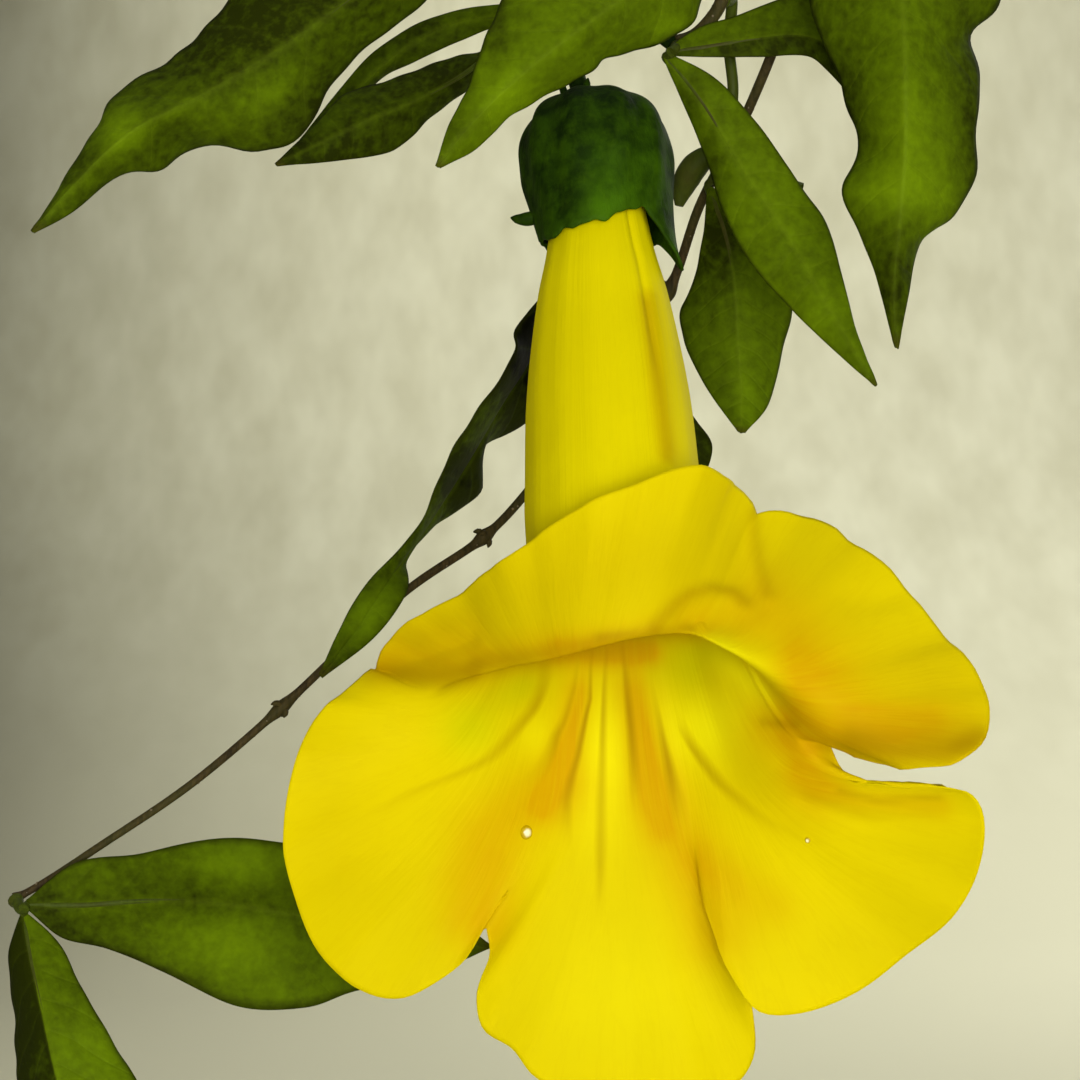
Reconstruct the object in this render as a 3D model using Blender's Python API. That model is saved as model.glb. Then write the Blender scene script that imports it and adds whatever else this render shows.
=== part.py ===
"""Cat's-claw vine with one open trumpet flower, standing in a plain bottle vase.

Frame: origin at the centre of the vase's flat foot, +Z up. The photograph looks
along +Y at the hanging flower. Positions that it shows are read on its grid as
(column, row, depth), the depth in steps behind the plane in focus, and sight()
turns them into metres. Everything else is given in millimetres.
"""
from math import cos, pi, radians, sin

import bmesh
import bpy
import numpy as np

MM = 0.001

# The photograph's grid: the size of a square in the plane in focus, of a step of
# depth, and the place of its view in the frame
GRID = 0.0945
DEPTH_STEP = 0.9
GRID_CENTRE = 540
VIEW_CENTRE = (-92.0, 250.0)
FOCUS_DEPTH = -30.0
VIEW_DISTANCE = 340.0

# Distance between pieces that touch on the real thing
GAP = 0.3

# Vase: a turned bottle, (radius, height) down the outside
VASE_HEIGHT = 150.0
VASE_WALL = 3.5
VASE_FLOOR = 5.0
VASE_FLOOR_CORNER = 2.0
VASE_LIP_DROP = 1.2
VASE_OUTSIDE = [(17.0, 150.0), (14.6, 144.0), (13.1, 132.0), (13.2, 120.0), (16.5, 106.0), (24.5, 90.0),
                (33.0, 73.0), (37.8, 54.0), (37.4, 36.0), (33.2, 18.0), (28.6, 4.0)]
VASE_FOOT_RADIUS = 27.0
VASE_STEPS = 30
VASE_SECTIONS = 12
WATER_LEVEL = 84.0
WATER_LEAST_STEP = 2.0
WATER_HOLE_RADIUS = 2.0

# Main stem: rises through the neck, arches over and hangs down on the left
STEM_IN_VASE = [(14.0, 5.0, 5.55), (4.0, 2.5, 65.0), (-6.3, 0.4, 120.0)]
STEM_ABOVE_VASE = [(-8.4, 1.0, 145.0), (-14.5, 5.0, 195.0), (-18.0, 8.0, 250.0),
                   (-20.5, 8.0, 300.0), (-28.0, 6.0, 334.0), (-45.0, 2.5, 347.0),
                   (-58.5, -0.5, 338.0), (-63.4, -2.0, 321.0)]
STEM_IN_VIEW = [(790, 0, 30), (746, 115, 35), (700, 205, 42), (668, 292, 47), (600, 390, 47),
                (523, 497, 44), (484, 537, 42), (405, 592, 38), (281, 708, 35), (190, 785, 33),
                (100, 846, 30), (45, 882, 28), (15, 899, 27)]
STEM_FOOT_RADIUS = 1.35
STEM_ARCH_RADIUS = 0.88
STEM_HANGING_RADIUS = 0.54
STEM_END_RADIUS = 0.38
STEM_NODE_SWELL = 0.75
STEM_SAMPLES = 62
STEM_LEAST_STEP = 0.0006
# Place in the list of the stem's points where it comes into view, and of its nodes
STEM_ENTERS = 11
NODE_LOW, NODE_MID, NODE_PEAK, NODE_FORK = 4, 5, 8, 9
NODE_BEHIND_TUBE, NODE_BARE_UPPER, NODE_BARE_LOWER, NODE_END = 14, 17, 19, 23
STEM_NODES = [NODE_LOW, NODE_MID, NODE_PEAK, NODE_FORK,
              NODE_BEHIND_TUBE, NODE_BARE_UPPER, NODE_BARE_LOWER, NODE_END]
STEM_NODE_REACH = 0.0035
SHOOT_IN_VIEW = [(728, -60, 26), (722, 0, 27), (703, 28, 28), (678, 47, 28)]
SHOOT_RADIUS = 0.68
SHOOT_NODE_RADIUS = 1.22
SHOOT_NODE_REACH = 0.05

# Flower: base of the tube, tilt of its axis to the viewer, its lean to the right
FLOWER_BASE = (592, 93, 30)
FLOWER_TILT = radians(26.0)
FLOWER_LEAN = radians(2.4)
PETAL_THICKNESS = 0.62
# Tube: (height along the axis, radius)
TUBE = [(3.2, 3.1), (10.8, 4.1), (19.0, 5.2), (24.3, 6.3), (35.5, 7.8), (46.8, 8.4), (55.0, 9.0)]
TUBE_ROWS = 5
LIMB_ROWS = 9
LOBE_COLUMNS = 10
# Lip of the throat round the axis: (angle, column, row, depth)
LIP = [(150, 500, 668, -8), (128, 545, 659, -12), (108, 592, 647, -14), (92, 640, 636, -14),
       (75, 690, 633, -12), (58, 735, 652, -12), (40, 772, 678, -10), (20, 795, 708, -7),
       (0, 795, 735, -3), (-22, 780, 775, 0), (-42, 750, 810, 4), (-64, 695, 835, 7),
       (-90, 630, 838, 8), (-108, 585, 835, 8), (-124, 545, 825, 7), (-145, 495, 790, 4),
       (-170, 455, 740, 1), (-195, 445, 685, -3)]
# Lobes: first and last angle at the throat, then the edge from notch to notch
UPPER_LEFT = (165, 75, [(378, 672, 4), (384, 650, 2), (398, 630, 0), (425, 612, -2), (450, 597, -4),
                        (480, 576, -6), (512, 557, -8), (552, 525, -10), (600, 497, -11), (650, 478, -11),
                        (697, 465, -8), (722, 477, -5), (743, 492, -2), (756, 514, 0)])
UPPER_RIGHT = (75, 0, [(756, 514, 0), (775, 509, 1), (805, 511, 2), (832, 524, 2), (852, 546, 1),
                       (890, 573, 0), (925, 612, -2), (950, 643, -4), (976, 668, -7), (990, 703, -10),
                       (984, 740, -12), (955, 766, -13), (915, 768, -12), (880, 764, -9), (850, 752, -6),
                       (829, 740, -2)])
LOWER_RIGHT = (0, -64, [(829, 740, -2), (842, 764, -3), (868, 781, -4), (905, 788, -5), (950, 782, -6),
                        (974, 793, -6), (985, 825, -5), (975, 880, -2), (950, 920, 0), (905, 957, 2),
                        (855, 994, 3), (800, 1013, 4), (757, 1011, 4), (725, 965, 4), (703, 905, 6)])
LOWER_MIDDLE = (-64, -124, [(703, 905, 6), (728, 950, 8.5), (752, 1000, 9), (755, 1055, 9),
                            (735, 1085, 9), (690, 1100, 8), (635, 1104, 8), (580, 1098, 8),
                            (535, 1077, 8), (512, 1049, 8), (485, 1032, 8), (480, 1000, 7),
                            (488, 960, 6), (484, 927, 5)])
LOWER_LEFT = (-124, -195, [(484, 927, 5), (474, 950, 5), (440, 980, 5), (397, 999, 5), (355, 988, 4),
                           (320, 955, 3), (295, 900, 1), (283, 850, -1), (288, 790, -2), (303, 740, -1),
                           (325, 703, 0), (350, 683, 2), (378, 672, 4)])
LOBES = [UPPER_LEFT, UPPER_RIGHT, LOWER_RIGHT, LOWER_MIDDLE, LOWER_LEFT]

# Calyx: a puffed cup round the tube, (height, radius) of its outside, and its uneven rim
CALYX = [(1.2, 1.1), (1.4, 2.7), (2.2, 4.9), (3.9, 6.7), (6.8, 7.6), (10.2, 7.5), (13.6, 6.9),
         (16.6, 6.65)]
CALYX_WALL = 0.6
CALYX_FLOOR_RADIUS = 3.9
CALYX_TEETH = 5
CALYX_TOOTH_HEIGHT = 0.4
# Longer front and left of the rim, and the flap on its right: turn round the axis and
# reach either way in radians, height in millimetres
CALYX_FRONT_TURN, CALYX_FRONT_REACH, CALYX_FRONT_HEIGHT = 2.15, 0.85, 2.7
CALYX_FLAP_TURN, CALYX_FLAP_REACH, CALYX_FLAP_HEIGHT = 0.1, 0.32, 4.4
CALYX_FLAP_SPREAD = 2.0
CALYX_RIBS = 10
CALYX_RIB_HEIGHT = 0.2
CALYX_RIB_FADE = 6.3
CALYX_COLUMNS = 30
PEDICEL = [(650, 24, 28), (620, 14, 30), (590, 22, 31), (577, 52, 32), (577, 80, 31)]
PEDICEL_RADIUS = 0.95
# Height in the flower at which the pedicel ends, inside the base of the cup
PEDICEL_END = 2.0

# Pistil and stamens: (height, radius) inside the tube, along its upper side
DISC = [(3.25, 2.2), (4.7, 2.0)]
STYLE = [(4.1, 0.2), (9.0, 0.4), (22.5, 2.0), (45.0, 5.0), (59.4, 6.5)]
FILAMENT = [(3.9, 1.3), (11.0, 2.5), (25.0, 4.4)]
ANTHER_LENGTH = 4.0
ANTHER_RADII = (5.9, 6.2)
# Stamens: (angle from the upper side, height of the anther's foot)
STAMENS = [(0.32, 47.0), (-0.32, 47.0), (0.62, 40.0), (-0.62, 40.0)]

# Leaflets
BLADE_THICKNESS = 0.7
BLADE_ROWS = 12
BLADE_FOLD = 0.22
LANCE_FOOT = 0.42
LANCE_TIP = 0.25
PETIOLE_RADIUS = 0.56
PETIOLULE_RADIUS = 0.46
PETIOLULE_TIP_RADIUS = 0.4
# Leafy scale at the fork beside the calyx, with its radii from foot to tip
SCALE_LEAF = [(717, 152, 35), (704, 158, 36), (692, 170, 37), (683, 188, 38), (679, 206, 38)]
SCALE_RADII = [0.6, 1.15, 1.4, 1.4, 1.1, 0.45]
MIDRIB_ROOT = 3.0
WAVE_HEIGHT = 0.72


def sight(column, row, depth):
    """Metres in the frame of a point read on the photograph's grid."""
    behind = depth * DEPTH_STEP
    spread = GRID * (1.0 + behind / VIEW_DISTANCE)
    x = VIEW_CENTRE[0] + (column - GRID_CENTRE) * spread
    z = VIEW_CENTRE[1] + (GRID_CENTRE - row) * spread
    return np.array((x, FOCUS_DEPTH + behind, z)) * MM


def place(x, y, z):
    """Metres of a point given in millimetres."""
    return np.array((x, y, z)) * MM


def slopes(points, knots):
    """Slope of a smooth curve at each of its points."""
    run = np.diff(knots)[:, None]
    chord = np.diff(points, axis=0) / run
    inner = (chord[1:] * run[:-1] + chord[:-1] * run[1:]) / (run[1:] + run[:-1])
    return np.concatenate([chord[:1], inner, chord[-1:]])


def hermite(points, knots, at):
    """Points at the values `at` on the smooth curve through `points` at `knots`."""
    slope = slopes(points, knots)
    i = np.clip(np.searchsorted(knots, at, side="right") - 1, 0, len(knots) - 2)
    run = (knots[i + 1] - knots[i])[:, None]
    u = ((at - knots[i])[:, None]) / run
    start = (2 * u**3 - 3 * u**2 + 1) * points[i] + (u**3 - 2 * u**2 + u) * run * slope[i]
    end = (3 * u**2 - 2 * u**3) * points[i + 1] + (u**3 - u**2) * run * slope[i + 1]
    return start + end


def spacing(points):
    """Knots from 0 to 1 that follow the distances between the points."""
    steps = np.linalg.norm(np.diff(points, axis=0), axis=1) ** 0.5
    knots = np.concatenate([[0.0], np.cumsum(steps)])
    return knots / knots[-1]


def curve(points, at):
    """Points at `at`, from 0 to 1, on the smooth curve through the given points."""
    points = np.asarray(points, float)
    return hermite(points, spacing(points), np.asarray(at, float))


def material(name, colour, roughness):
    made = bpy.data.materials.new(name)
    made.use_nodes = True
    surface = made.node_tree.nodes["Principled BSDF"]
    surface.inputs["Base Color"].default_value = (*colour, 1.0)
    surface.inputs["Roughness"].default_value = roughness
    return made


def link(name, mesh, finish=None):
    mesh.name = name
    made = bpy.data.objects.new(name, mesh)
    bpy.context.scene.collection.objects.link(made)
    if finish:
        mesh.materials.append(finish)
    return made


def evaluated_mesh(obj):
    """A new mesh of the object with its modifiers applied."""
    graph = bpy.context.evaluated_depsgraph_get()
    graph.update()
    return bpy.data.meshes.new_from_object(obj.evaluated_get(graph))


def combine(name, base, others, operation, finish):
    """The base joined with, or cut by, a collection of other objects."""
    group = bpy.data.collections.new(name + "_group")
    bpy.context.scene.collection.children.link(group)
    for other in others:
        bpy.context.scene.collection.objects.unlink(other)
        group.objects.link(other)
    boolean = base.modifiers.new("Combine", "BOOLEAN")
    boolean.operation = operation
    boolean.operand_type = "COLLECTION"
    boolean.collection = group
    mesh = evaluated_mesh(base)
    for used in [base] + others:
        bpy.data.objects.remove(used)
    bpy.data.collections.remove(group)
    mesh.materials.clear()
    return link(name, mesh, finish)


def stalk(name, points, radii, resolution=1):
    """A round stalk along the points, as a closed mesh with capped ends."""
    data = bpy.data.curves.new(name, "CURVE")
    data.dimensions = "3D"
    data.bevel_depth = MM
    data.bevel_resolution = resolution
    data.use_fill_caps = True
    line = data.splines.new("POLY")
    line.points.add(len(points) - 1)
    for point, co, radius in zip(line.points, points, radii):
        point.co = (*co, 1.0)
        point.radius = radius
    shape = bpy.data.objects.new(name, data)
    bpy.context.scene.collection.objects.link(shape)
    mesh = evaluated_mesh(shape)
    bpy.data.objects.remove(shape)
    cleaned = bmesh.new()
    cleaned.from_mesh(mesh)
    bmesh.ops.remove_doubles(cleaned, verts=cleaned.verts, dist=0.000001)
    bmesh.ops.recalc_face_normals(cleaned, faces=cleaned.faces)
    cleaned.to_mesh(mesh)
    cleaned.free()
    return link(name, mesh)


def sheet(name, grid, closed):
    """A surface over a grid of points, split into triangles the same way all over."""
    rows, columns = grid.shape[:2]
    surface = bmesh.new()
    verts = [[surface.verts.new(point) for point in row] for row in grid]
    for i in range(rows - 1):
        for j in range(columns if closed else columns - 1):
            k = (j + 1) % columns
            surface.faces.new((verts[i][j], verts[i][k], verts[i + 1][k]))
            surface.faces.new((verts[i][j], verts[i + 1][k], verts[i + 1][j]))
    mesh = bpy.data.meshes.new(name)
    surface.to_mesh(mesh)
    surface.free()
    return link(name, mesh)


def thicken(obj, thickness):
    """The surface made a closed body of even thickness, its faces pointing out."""
    solidify = obj.modifiers.new("Thickness", "SOLIDIFY")
    solidify.thickness = thickness * MM
    solidify.offset = 0.0
    mesh = evaluated_mesh(obj)
    body = bmesh.new()
    body.from_mesh(mesh)
    bmesh.ops.recalc_face_normals(body, faces=body.faces)
    body.to_mesh(mesh)
    body.free()
    name = obj.name
    bpy.data.objects.remove(obj)
    return link(name, mesh)


def vase_profile():
    """Half section of the vase: up the inside, over the lip and down the outside."""
    outside = curve([(r, 0.0, z) for r, z in VASE_OUTSIDE], np.linspace(0.0, 1.0, VASE_SECTIONS))
    inside = [(r - VASE_WALL, z) for r, _, z in outside[1:] if z > VASE_FLOOR + VASE_FLOOR_CORNER]
    floor_radius = inside[-1][0] - VASE_FLOOR_CORNER
    lip_radius = VASE_OUTSIDE[0][0]
    shoulder = VASE_HEIGHT - VASE_LIP_DROP
    up = [(0.0, VASE_FLOOR), (floor_radius, VASE_FLOOR)] + inside[::-1]
    lip = [(lip_radius - VASE_WALL, shoulder), (lip_radius - VASE_WALL / 2, VASE_HEIGHT)]
    down = [(lip_radius, shoulder)] + [(r, z) for r, _, z in outside[1:]]
    return up + lip + down + [(VASE_FOOT_RADIUS, 0.0), (0.0, 0.0)], inside, floor_radius


def turned(name, profile):
    """A closed body turned round the Z axis from (radius, height) pairs."""
    line = bpy.data.meshes.new(name)
    points = [(r * MM, 0.0, z * MM) for r, z in profile]
    line.from_pydata(points, [(i, i + 1) for i in range(len(points) - 1)], [])
    shape = link(name, line)
    screw = shape.modifiers.new("Turn", "SCREW")
    screw.steps = VASE_STEPS
    screw.render_steps = VASE_STEPS
    screw.use_merge_vertices = True
    screw.merge_threshold = 0.00001
    mesh = evaluated_mesh(shape)
    bpy.data.objects.remove(shape)
    body = bmesh.new()
    body.from_mesh(mesh)
    bmesh.ops.recalc_face_normals(body, faces=body.faces)
    body.to_mesh(mesh)
    body.free()
    return link(name, mesh)


def make_vase(finish):
    profile, _, _ = vase_profile()
    vase = turned("vase", profile)
    vase.data.materials.append(finish)
    vase.data.shade_smooth()
    vase.data.set_sharp_from_angle(angle=radians(40.0))


def make_water(finish):
    """Water up to its level, with a plain hole round the standing stem."""
    _, inside, floor_radius = vase_profile()
    wall = sorted([(z, r - GAP) for r, z in inside])
    heights = [z for z, _ in wall]
    radii = [r for _, r in wall]
    side = [(r, z) for z, r in wall if z < WATER_LEVEL - WATER_LEAST_STEP]
    top = (float(np.interp(WATER_LEVEL, heights, radii)), WATER_LEVEL)
    bottom = VASE_FLOOR + GAP
    profile = [(0.0, WATER_LEVEL), top] + side[::-1] + [(floor_radius - GAP, bottom), (0.0, bottom)]
    water = turned("water", profile)
    foot, middle, neck = [place(*point) for point in STEM_IN_VASE]
    path = curve([foot + (foot - middle) * 0.2, foot, middle, neck], np.linspace(0.0, 1.0, 13))
    hole = stalk("water_hole", path, [WATER_HOLE_RADIUS] * len(path))
    combine("water", water, [hole], "DIFFERENCE", finish)


def stem_points():
    standing = [place(*point) for point in STEM_IN_VASE + STEM_ABOVE_VASE]
    return standing + [sight(*point) for point in STEM_IN_VIEW]


def unit(vector):
    return np.array(vector, float) / np.linalg.norm(vector)


def seat(centre, radius, toward):
    """The first two points of a stalk that grows out of a round stem of this radius."""
    return [centre + unit(toward) * (radius + out) * MM for out in (GAP, GAP + 0.9)]


def stem_radii(at, knots):
    """Radius along the stem: it tapers, and swells at each node."""
    widths = [STEM_FOOT_RADIUS, STEM_ARCH_RADIUS, STEM_HANGING_RADIUS, STEM_END_RADIUS]
    radii = np.interp(at, [0.0, knots[NODE_PEAK], knots[STEM_ENTERS], 1.0], widths)
    for node in STEM_NODES:
        radii = radii * (1.0 + STEM_NODE_SWELL * np.exp(-((at - knots[node]) / STEM_NODE_REACH) ** 2))
    return radii


def bud(node, toward):
    """The first two points of a leaf's petiole at a node of the main stem."""
    points = np.array(stem_points())
    knots = spacing(points)
    radius = stem_radii(knots[node:node + 1], knots)[0]
    return seat(points[node], radius, toward)


def make_stem(finish):
    """The main stem with its swollen nodes, and the shoot that carries the flower."""
    points = np.array(stem_points())
    knots = spacing(points)
    nodes = knots[STEM_NODES]
    near = np.concatenate([nodes - STEM_NODE_REACH, nodes, nodes + STEM_NODE_REACH])
    at = np.unique(np.clip(np.concatenate([np.linspace(0.0, 1.0, STEM_SAMPLES), near]), 0.0, 1.0))
    at = at[np.concatenate([[True], np.diff(at) > STEM_LEAST_STEP])]
    stem = stalk("vine_stem", curve(points, at), stem_radii(at, knots), resolution=2)
    root = points[NODE_FORK]
    route = [root, root + place(-1.5, -2.5, -2.0)] + [sight(*point) for point in SHOOT_IN_VIEW]
    steps = np.linspace(0.0, 1.0, 12)
    swell = (SHOOT_NODE_RADIUS / SHOOT_RADIUS - 1.0) * np.exp(-((steps - 1.0) / SHOOT_NODE_REACH) ** 2)
    shoot = stalk("flower_shoot", curve(route, steps), SHOOT_RADIUS * (1.0 + swell))
    combine("vine_stem", stem, [shoot], "UNION", finish)


def flower_axes():
    """Unit vectors along the flower's axis, across it and up to the viewer."""
    tilt, lean = FLOWER_TILT, FLOWER_LEAN
    along = np.array((sin(lean) * cos(tilt), -sin(tilt), -cos(lean) * cos(tilt)))
    across = np.array((1.0, 0.0, 0.0)) - along * along[0]
    across /= np.linalg.norm(across)
    return along, across, np.cross(along, across)


def rings(profile, angles, along, across, up, base):
    """Rings of points round the flower's axis from (height, radius) pairs."""
    radial = np.cos(angles)[:, None] * across + np.sin(angles)[:, None] * up
    return [base + (along * height + radial * radius) * MM for height, radius in profile]


def lip_points(angles):
    degrees = np.array([row[0] for row in LIP], float)
    points = np.array([sight(*row[1:]) for row in LIP])
    degrees = np.concatenate([degrees[-2:] + 360.0, degrees, degrees[:2] - 360.0])[::-1]
    points = np.concatenate([points[-2:], points, points[:2]])[::-1]
    return hermite(points, degrees, angles)


def corolla_grid():
    """Rows of points from the tube's base to the lobes' edges, one column per angle."""
    along, across, up = flower_axes()
    share = np.linspace(0.0, 1.0, LOBE_COLUMNS + 1)[:-1]
    angles = np.concatenate([first + (last - first) * share for first, last, _ in LOBES])
    edges = [curve([sight(*point) for point in points], share) for _, _, points in LOBES]
    tube = rings(TUBE, np.radians(angles), along, across, up, sight(*FLOWER_BASE))
    sections = np.array(tube + [lip_points(angles), np.concatenate(edges)])
    columns = []
    for j in range(len(angles)):
        knots = spacing(sections[:, j])
        throat = knots[-3]
        tube_rows = np.linspace(0.0, throat, TUBE_ROWS + 1)[:-1]
        limb_rows = np.linspace(throat, 1.0, LIMB_ROWS + 1)
        columns.append(hermite(sections[:, j], knots, np.concatenate([tube_rows, limb_rows])))
    return np.array(columns).transpose(1, 0, 2)


def make_corolla(finish):
    corolla = thicken(sheet("corolla", corolla_grid(), closed=True), PETAL_THICKNESS)
    corolla.data.materials.append(finish)
    corolla.data.shade_smooth()


def calyx_rim(angles):
    """Height added to the rim: low teeth, a longer front and left, a flap on the right."""
    teeth = CALYX_TOOTH_HEIGHT * np.sin(CALYX_TEETH * angles + 0.6)
    front = np.exp(-((angles - CALYX_FRONT_TURN) / CALYX_FRONT_REACH) ** 2)
    flap = np.exp(-((angles - CALYX_FLAP_TURN) / CALYX_FLAP_REACH) ** 2)
    return teeth + CALYX_FRONT_HEIGHT * front + CALYX_FLAP_HEIGHT * flap, flap


def make_calyx(finish):
    """The puffed cup, open round the tube, with the pedicel it hangs from."""
    along, across, up = flower_axes()
    base = sight(*FLOWER_BASE)
    angles = np.linspace(-pi, pi, CALYX_COLUMNS + 1)[:-1]
    radial = np.cos(angles)[:, None] * across + np.sin(angles)[:, None] * up
    rim, flap = calyx_rim(angles)
    top = CALYX[-1][0]
    floor_height = TUBE[0][0] - GAP
    outside, inside = [], []
    for height, radius in CALYX:
        grow = (height / top) ** 3
        ribs = CALYX_RIB_HEIGHT * np.cos(CALYX_RIBS * angles) * min(1.0, radius / CALYX_RIB_FADE)
        tall = height + rim * grow
        wide = radius + ribs * (1.0 - grow) + CALYX_FLAP_SPREAD * flap * grow**2
        outside.append(base + (tall[:, None] * along + wide[:, None] * radial) * MM)
        if height > floor_height:
            inside.append(base + (tall[:, None] * along + (wide - CALYX_WALL)[:, None] * radial) * MM)
    floor = base + (floor_height * along + CALYX_FLOOR_RADIUS * radial) * MM
    rows = outside + inside[::-1] + [floor]
    body = bmesh.new()
    verts = [[body.verts.new(point) for point in row] for row in rows]
    for low, high in zip(verts[:-1], verts[1:]):
        for j in range(CALYX_COLUMNS):
            k = (j + 1) % CALYX_COLUMNS
            body.faces.new((low[j], low[k], high[k], high[j]))
    body.faces.new(verts[0][::-1])
    body.faces.new(verts[-1])
    bmesh.ops.recalc_face_normals(body, faces=body.faces)
    mesh = bpy.data.meshes.new("calyx")
    body.to_mesh(mesh)
    body.free()
    cup = link("calyx", mesh)
    start = seat(sight(*SHOOT_IN_VIEW[-1]), SHOOT_NODE_RADIUS, (-1.0, 0.0, 0.75))
    end = base + along * PEDICEL_END * MM
    path, steps = grown(start + [sight(*point) for point in PEDICEL] + [end], 11)
    pedicel = stalk("pedicel", path, PEDICEL_RADIUS * np.interp(steps, [0.0, 0.85, 1.0], [0.9, 1.0, 1.5]))
    calyx = combine("calyx", cup, [pedicel], "UNION", finish)
    calyx.data.shade_smooth()
    calyx.data.set_sharp_from_angle(angle=radians(50.0))


def inside_tube(height, radius, angle):
    """A point inside the flower's tube, in metres."""
    along, across, up = flower_axes()
    radial = across * cos(angle) + up * sin(angle)
    return sight(*FLOWER_BASE) + (along * height + radial * radius) * MM


def make_pistil_and_stamens(finish):
    """Disc, ovary, style and four stamens that lie along the upper side of the tube."""
    heights, radii = zip(*DISC)
    disc = stalk("disc", [inside_tube(height, 0.0, 0.0) for height in heights], radii, resolution=4)
    steps = np.array([0.0, 0.1, 0.2, 0.35, 0.5, 0.65, 0.82, 0.86, 0.95, 1.0])
    route = [inside_tube(height, radius, pi / 2) for height, radius in STYLE]
    thick = np.interp(steps, [0.0, 0.2, 0.35, 0.9, 1.0], [1.0, 0.95, 0.4, 0.4, 0.9])
    others = [stalk("style", curve(route, steps), thick)]
    for turn, foot in STAMENS:
        angle = pi / 2 + turn
        route = [inside_tube(height, radius, angle) for height, radius in FILAMENT]
        route.append(inside_tube(foot, ANTHER_RADII[0], angle))
        route.append(inside_tube(foot + ANTHER_LENGTH, ANTHER_RADII[1], angle - turn * 0.25))
        thick = np.interp(steps, [0.0, 0.82, 0.86, 0.95, 1.0], [0.4, 0.36, 0.85, 0.8, 0.35])
        others.append(stalk("stamen", curve(route, steps), thick))
    combine("pistil_and_stamens", disc, others, "UNION", finish)


def waved(grid, waves, shift):
    """The blade's grid with its margins rippled along the surface normal."""
    rise = np.gradient(grid, axis=0)
    width = np.gradient(grid, axis=1)
    normal = np.cross(rise, width)
    normal /= np.maximum(np.linalg.norm(normal, axis=2, keepdims=True), 1e-12)
    rows, columns = grid.shape[:2]
    t = np.linspace(0.0, 1.0, rows)[:, None]
    w = np.linspace(-1.0, 1.0, columns)[None, :]
    ripple = w**2 * np.sin(2.0 * pi * waves * t + shift + 1.3 * np.sign(w)) * np.sin(pi * t) ** 0.7
    return grid + normal * (ripple * WAVE_HEIGHT * MM)[..., None]


def blade(name, left, middle, right, waves=3.0, shift=0.0):
    """A leaflet's blade between its two margins, folded along its midrib."""
    at = np.linspace(0.0, 1.0, BLADE_ROWS + 1)
    rails = [curve(rail, at) for rail in (left, middle, right)]
    half_left = (rails[0] + rails[1]) / 2
    half_right = (rails[2] + rails[1]) / 2
    grid = np.stack([rails[0], half_left, rails[1], half_right, rails[2]], axis=1)
    return thicken(sheet(name, waved(grid, waves, shift), closed=False), BLADE_THICKNESS)


def seen_blade(name, left, middle, right, waves=3.0, shift=0.0):
    """A blade whose margins and midrib are read on the photograph's grid."""
    rails = [[sight(*point) for point in rail] for rail in (left, middle, right)]
    return blade(name, *rails, waves=waves, shift=shift)


def lance_blade(name, base, tip, width, face, sag, shift=0.0):
    """A lance-shaped blade from base to tip; `face` is the side it turns up."""
    base, tip, face = np.array(base), np.array(tip), np.array(face, float)
    t = np.linspace(0.0, 1.0, 7)
    middle = base + (tip - base) * t[:, None] + place(0.0, 0.0, sag) * (4 * t * (1 - t))[:, None]
    side = np.cross(tip - base, face)
    side /= np.linalg.norm(side)
    half = (LANCE_FOOT + width / 2 * np.sin(pi * t**0.85) ** 0.9) * MM
    half[-1] = LANCE_TIP * MM
    drop = unit(face) * -BLADE_FOLD
    left = middle + (side + drop) * half[:, None]
    right = middle + (drop - side) * half[:, None]
    return blade(name, left, middle, right, shift=shift)


def grown(points, count):
    """A smooth route through the points that keeps its first stretch straight."""
    first = spacing(np.array(points))[1]
    steps = np.concatenate([[0.0], np.linspace(first, 1.0, count)])
    return curve(points, steps), steps


def compound_leaf(name, petiole, blades, finish):
    """A leaf: its petiole, which forks to each leaflet, and the leaflets."""
    path, _ = grown(petiole, 5)
    stem = stalk(name, path, np.linspace(PETIOLE_RADIUS * 1.15, PETIOLE_RADIUS, len(path)))
    fork = np.array(petiole[-1])
    others = []
    for made, foot, toward in blades:
        foot, toward = np.array(foot), np.array(toward)
        root = foot + unit(toward - foot) * MIDRIB_ROOT * MM
        path, _ = grown([fork, fork * 0.45 + foot * 0.55, foot, root], 4)
        radii = np.linspace(PETIOLULE_RADIUS, PETIOLULE_TIP_RADIUS, len(path))
        others.append(stalk("petiolule", path, radii))
        others.append(made)
    combine(name, stem, others, "UNION", finish)


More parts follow.
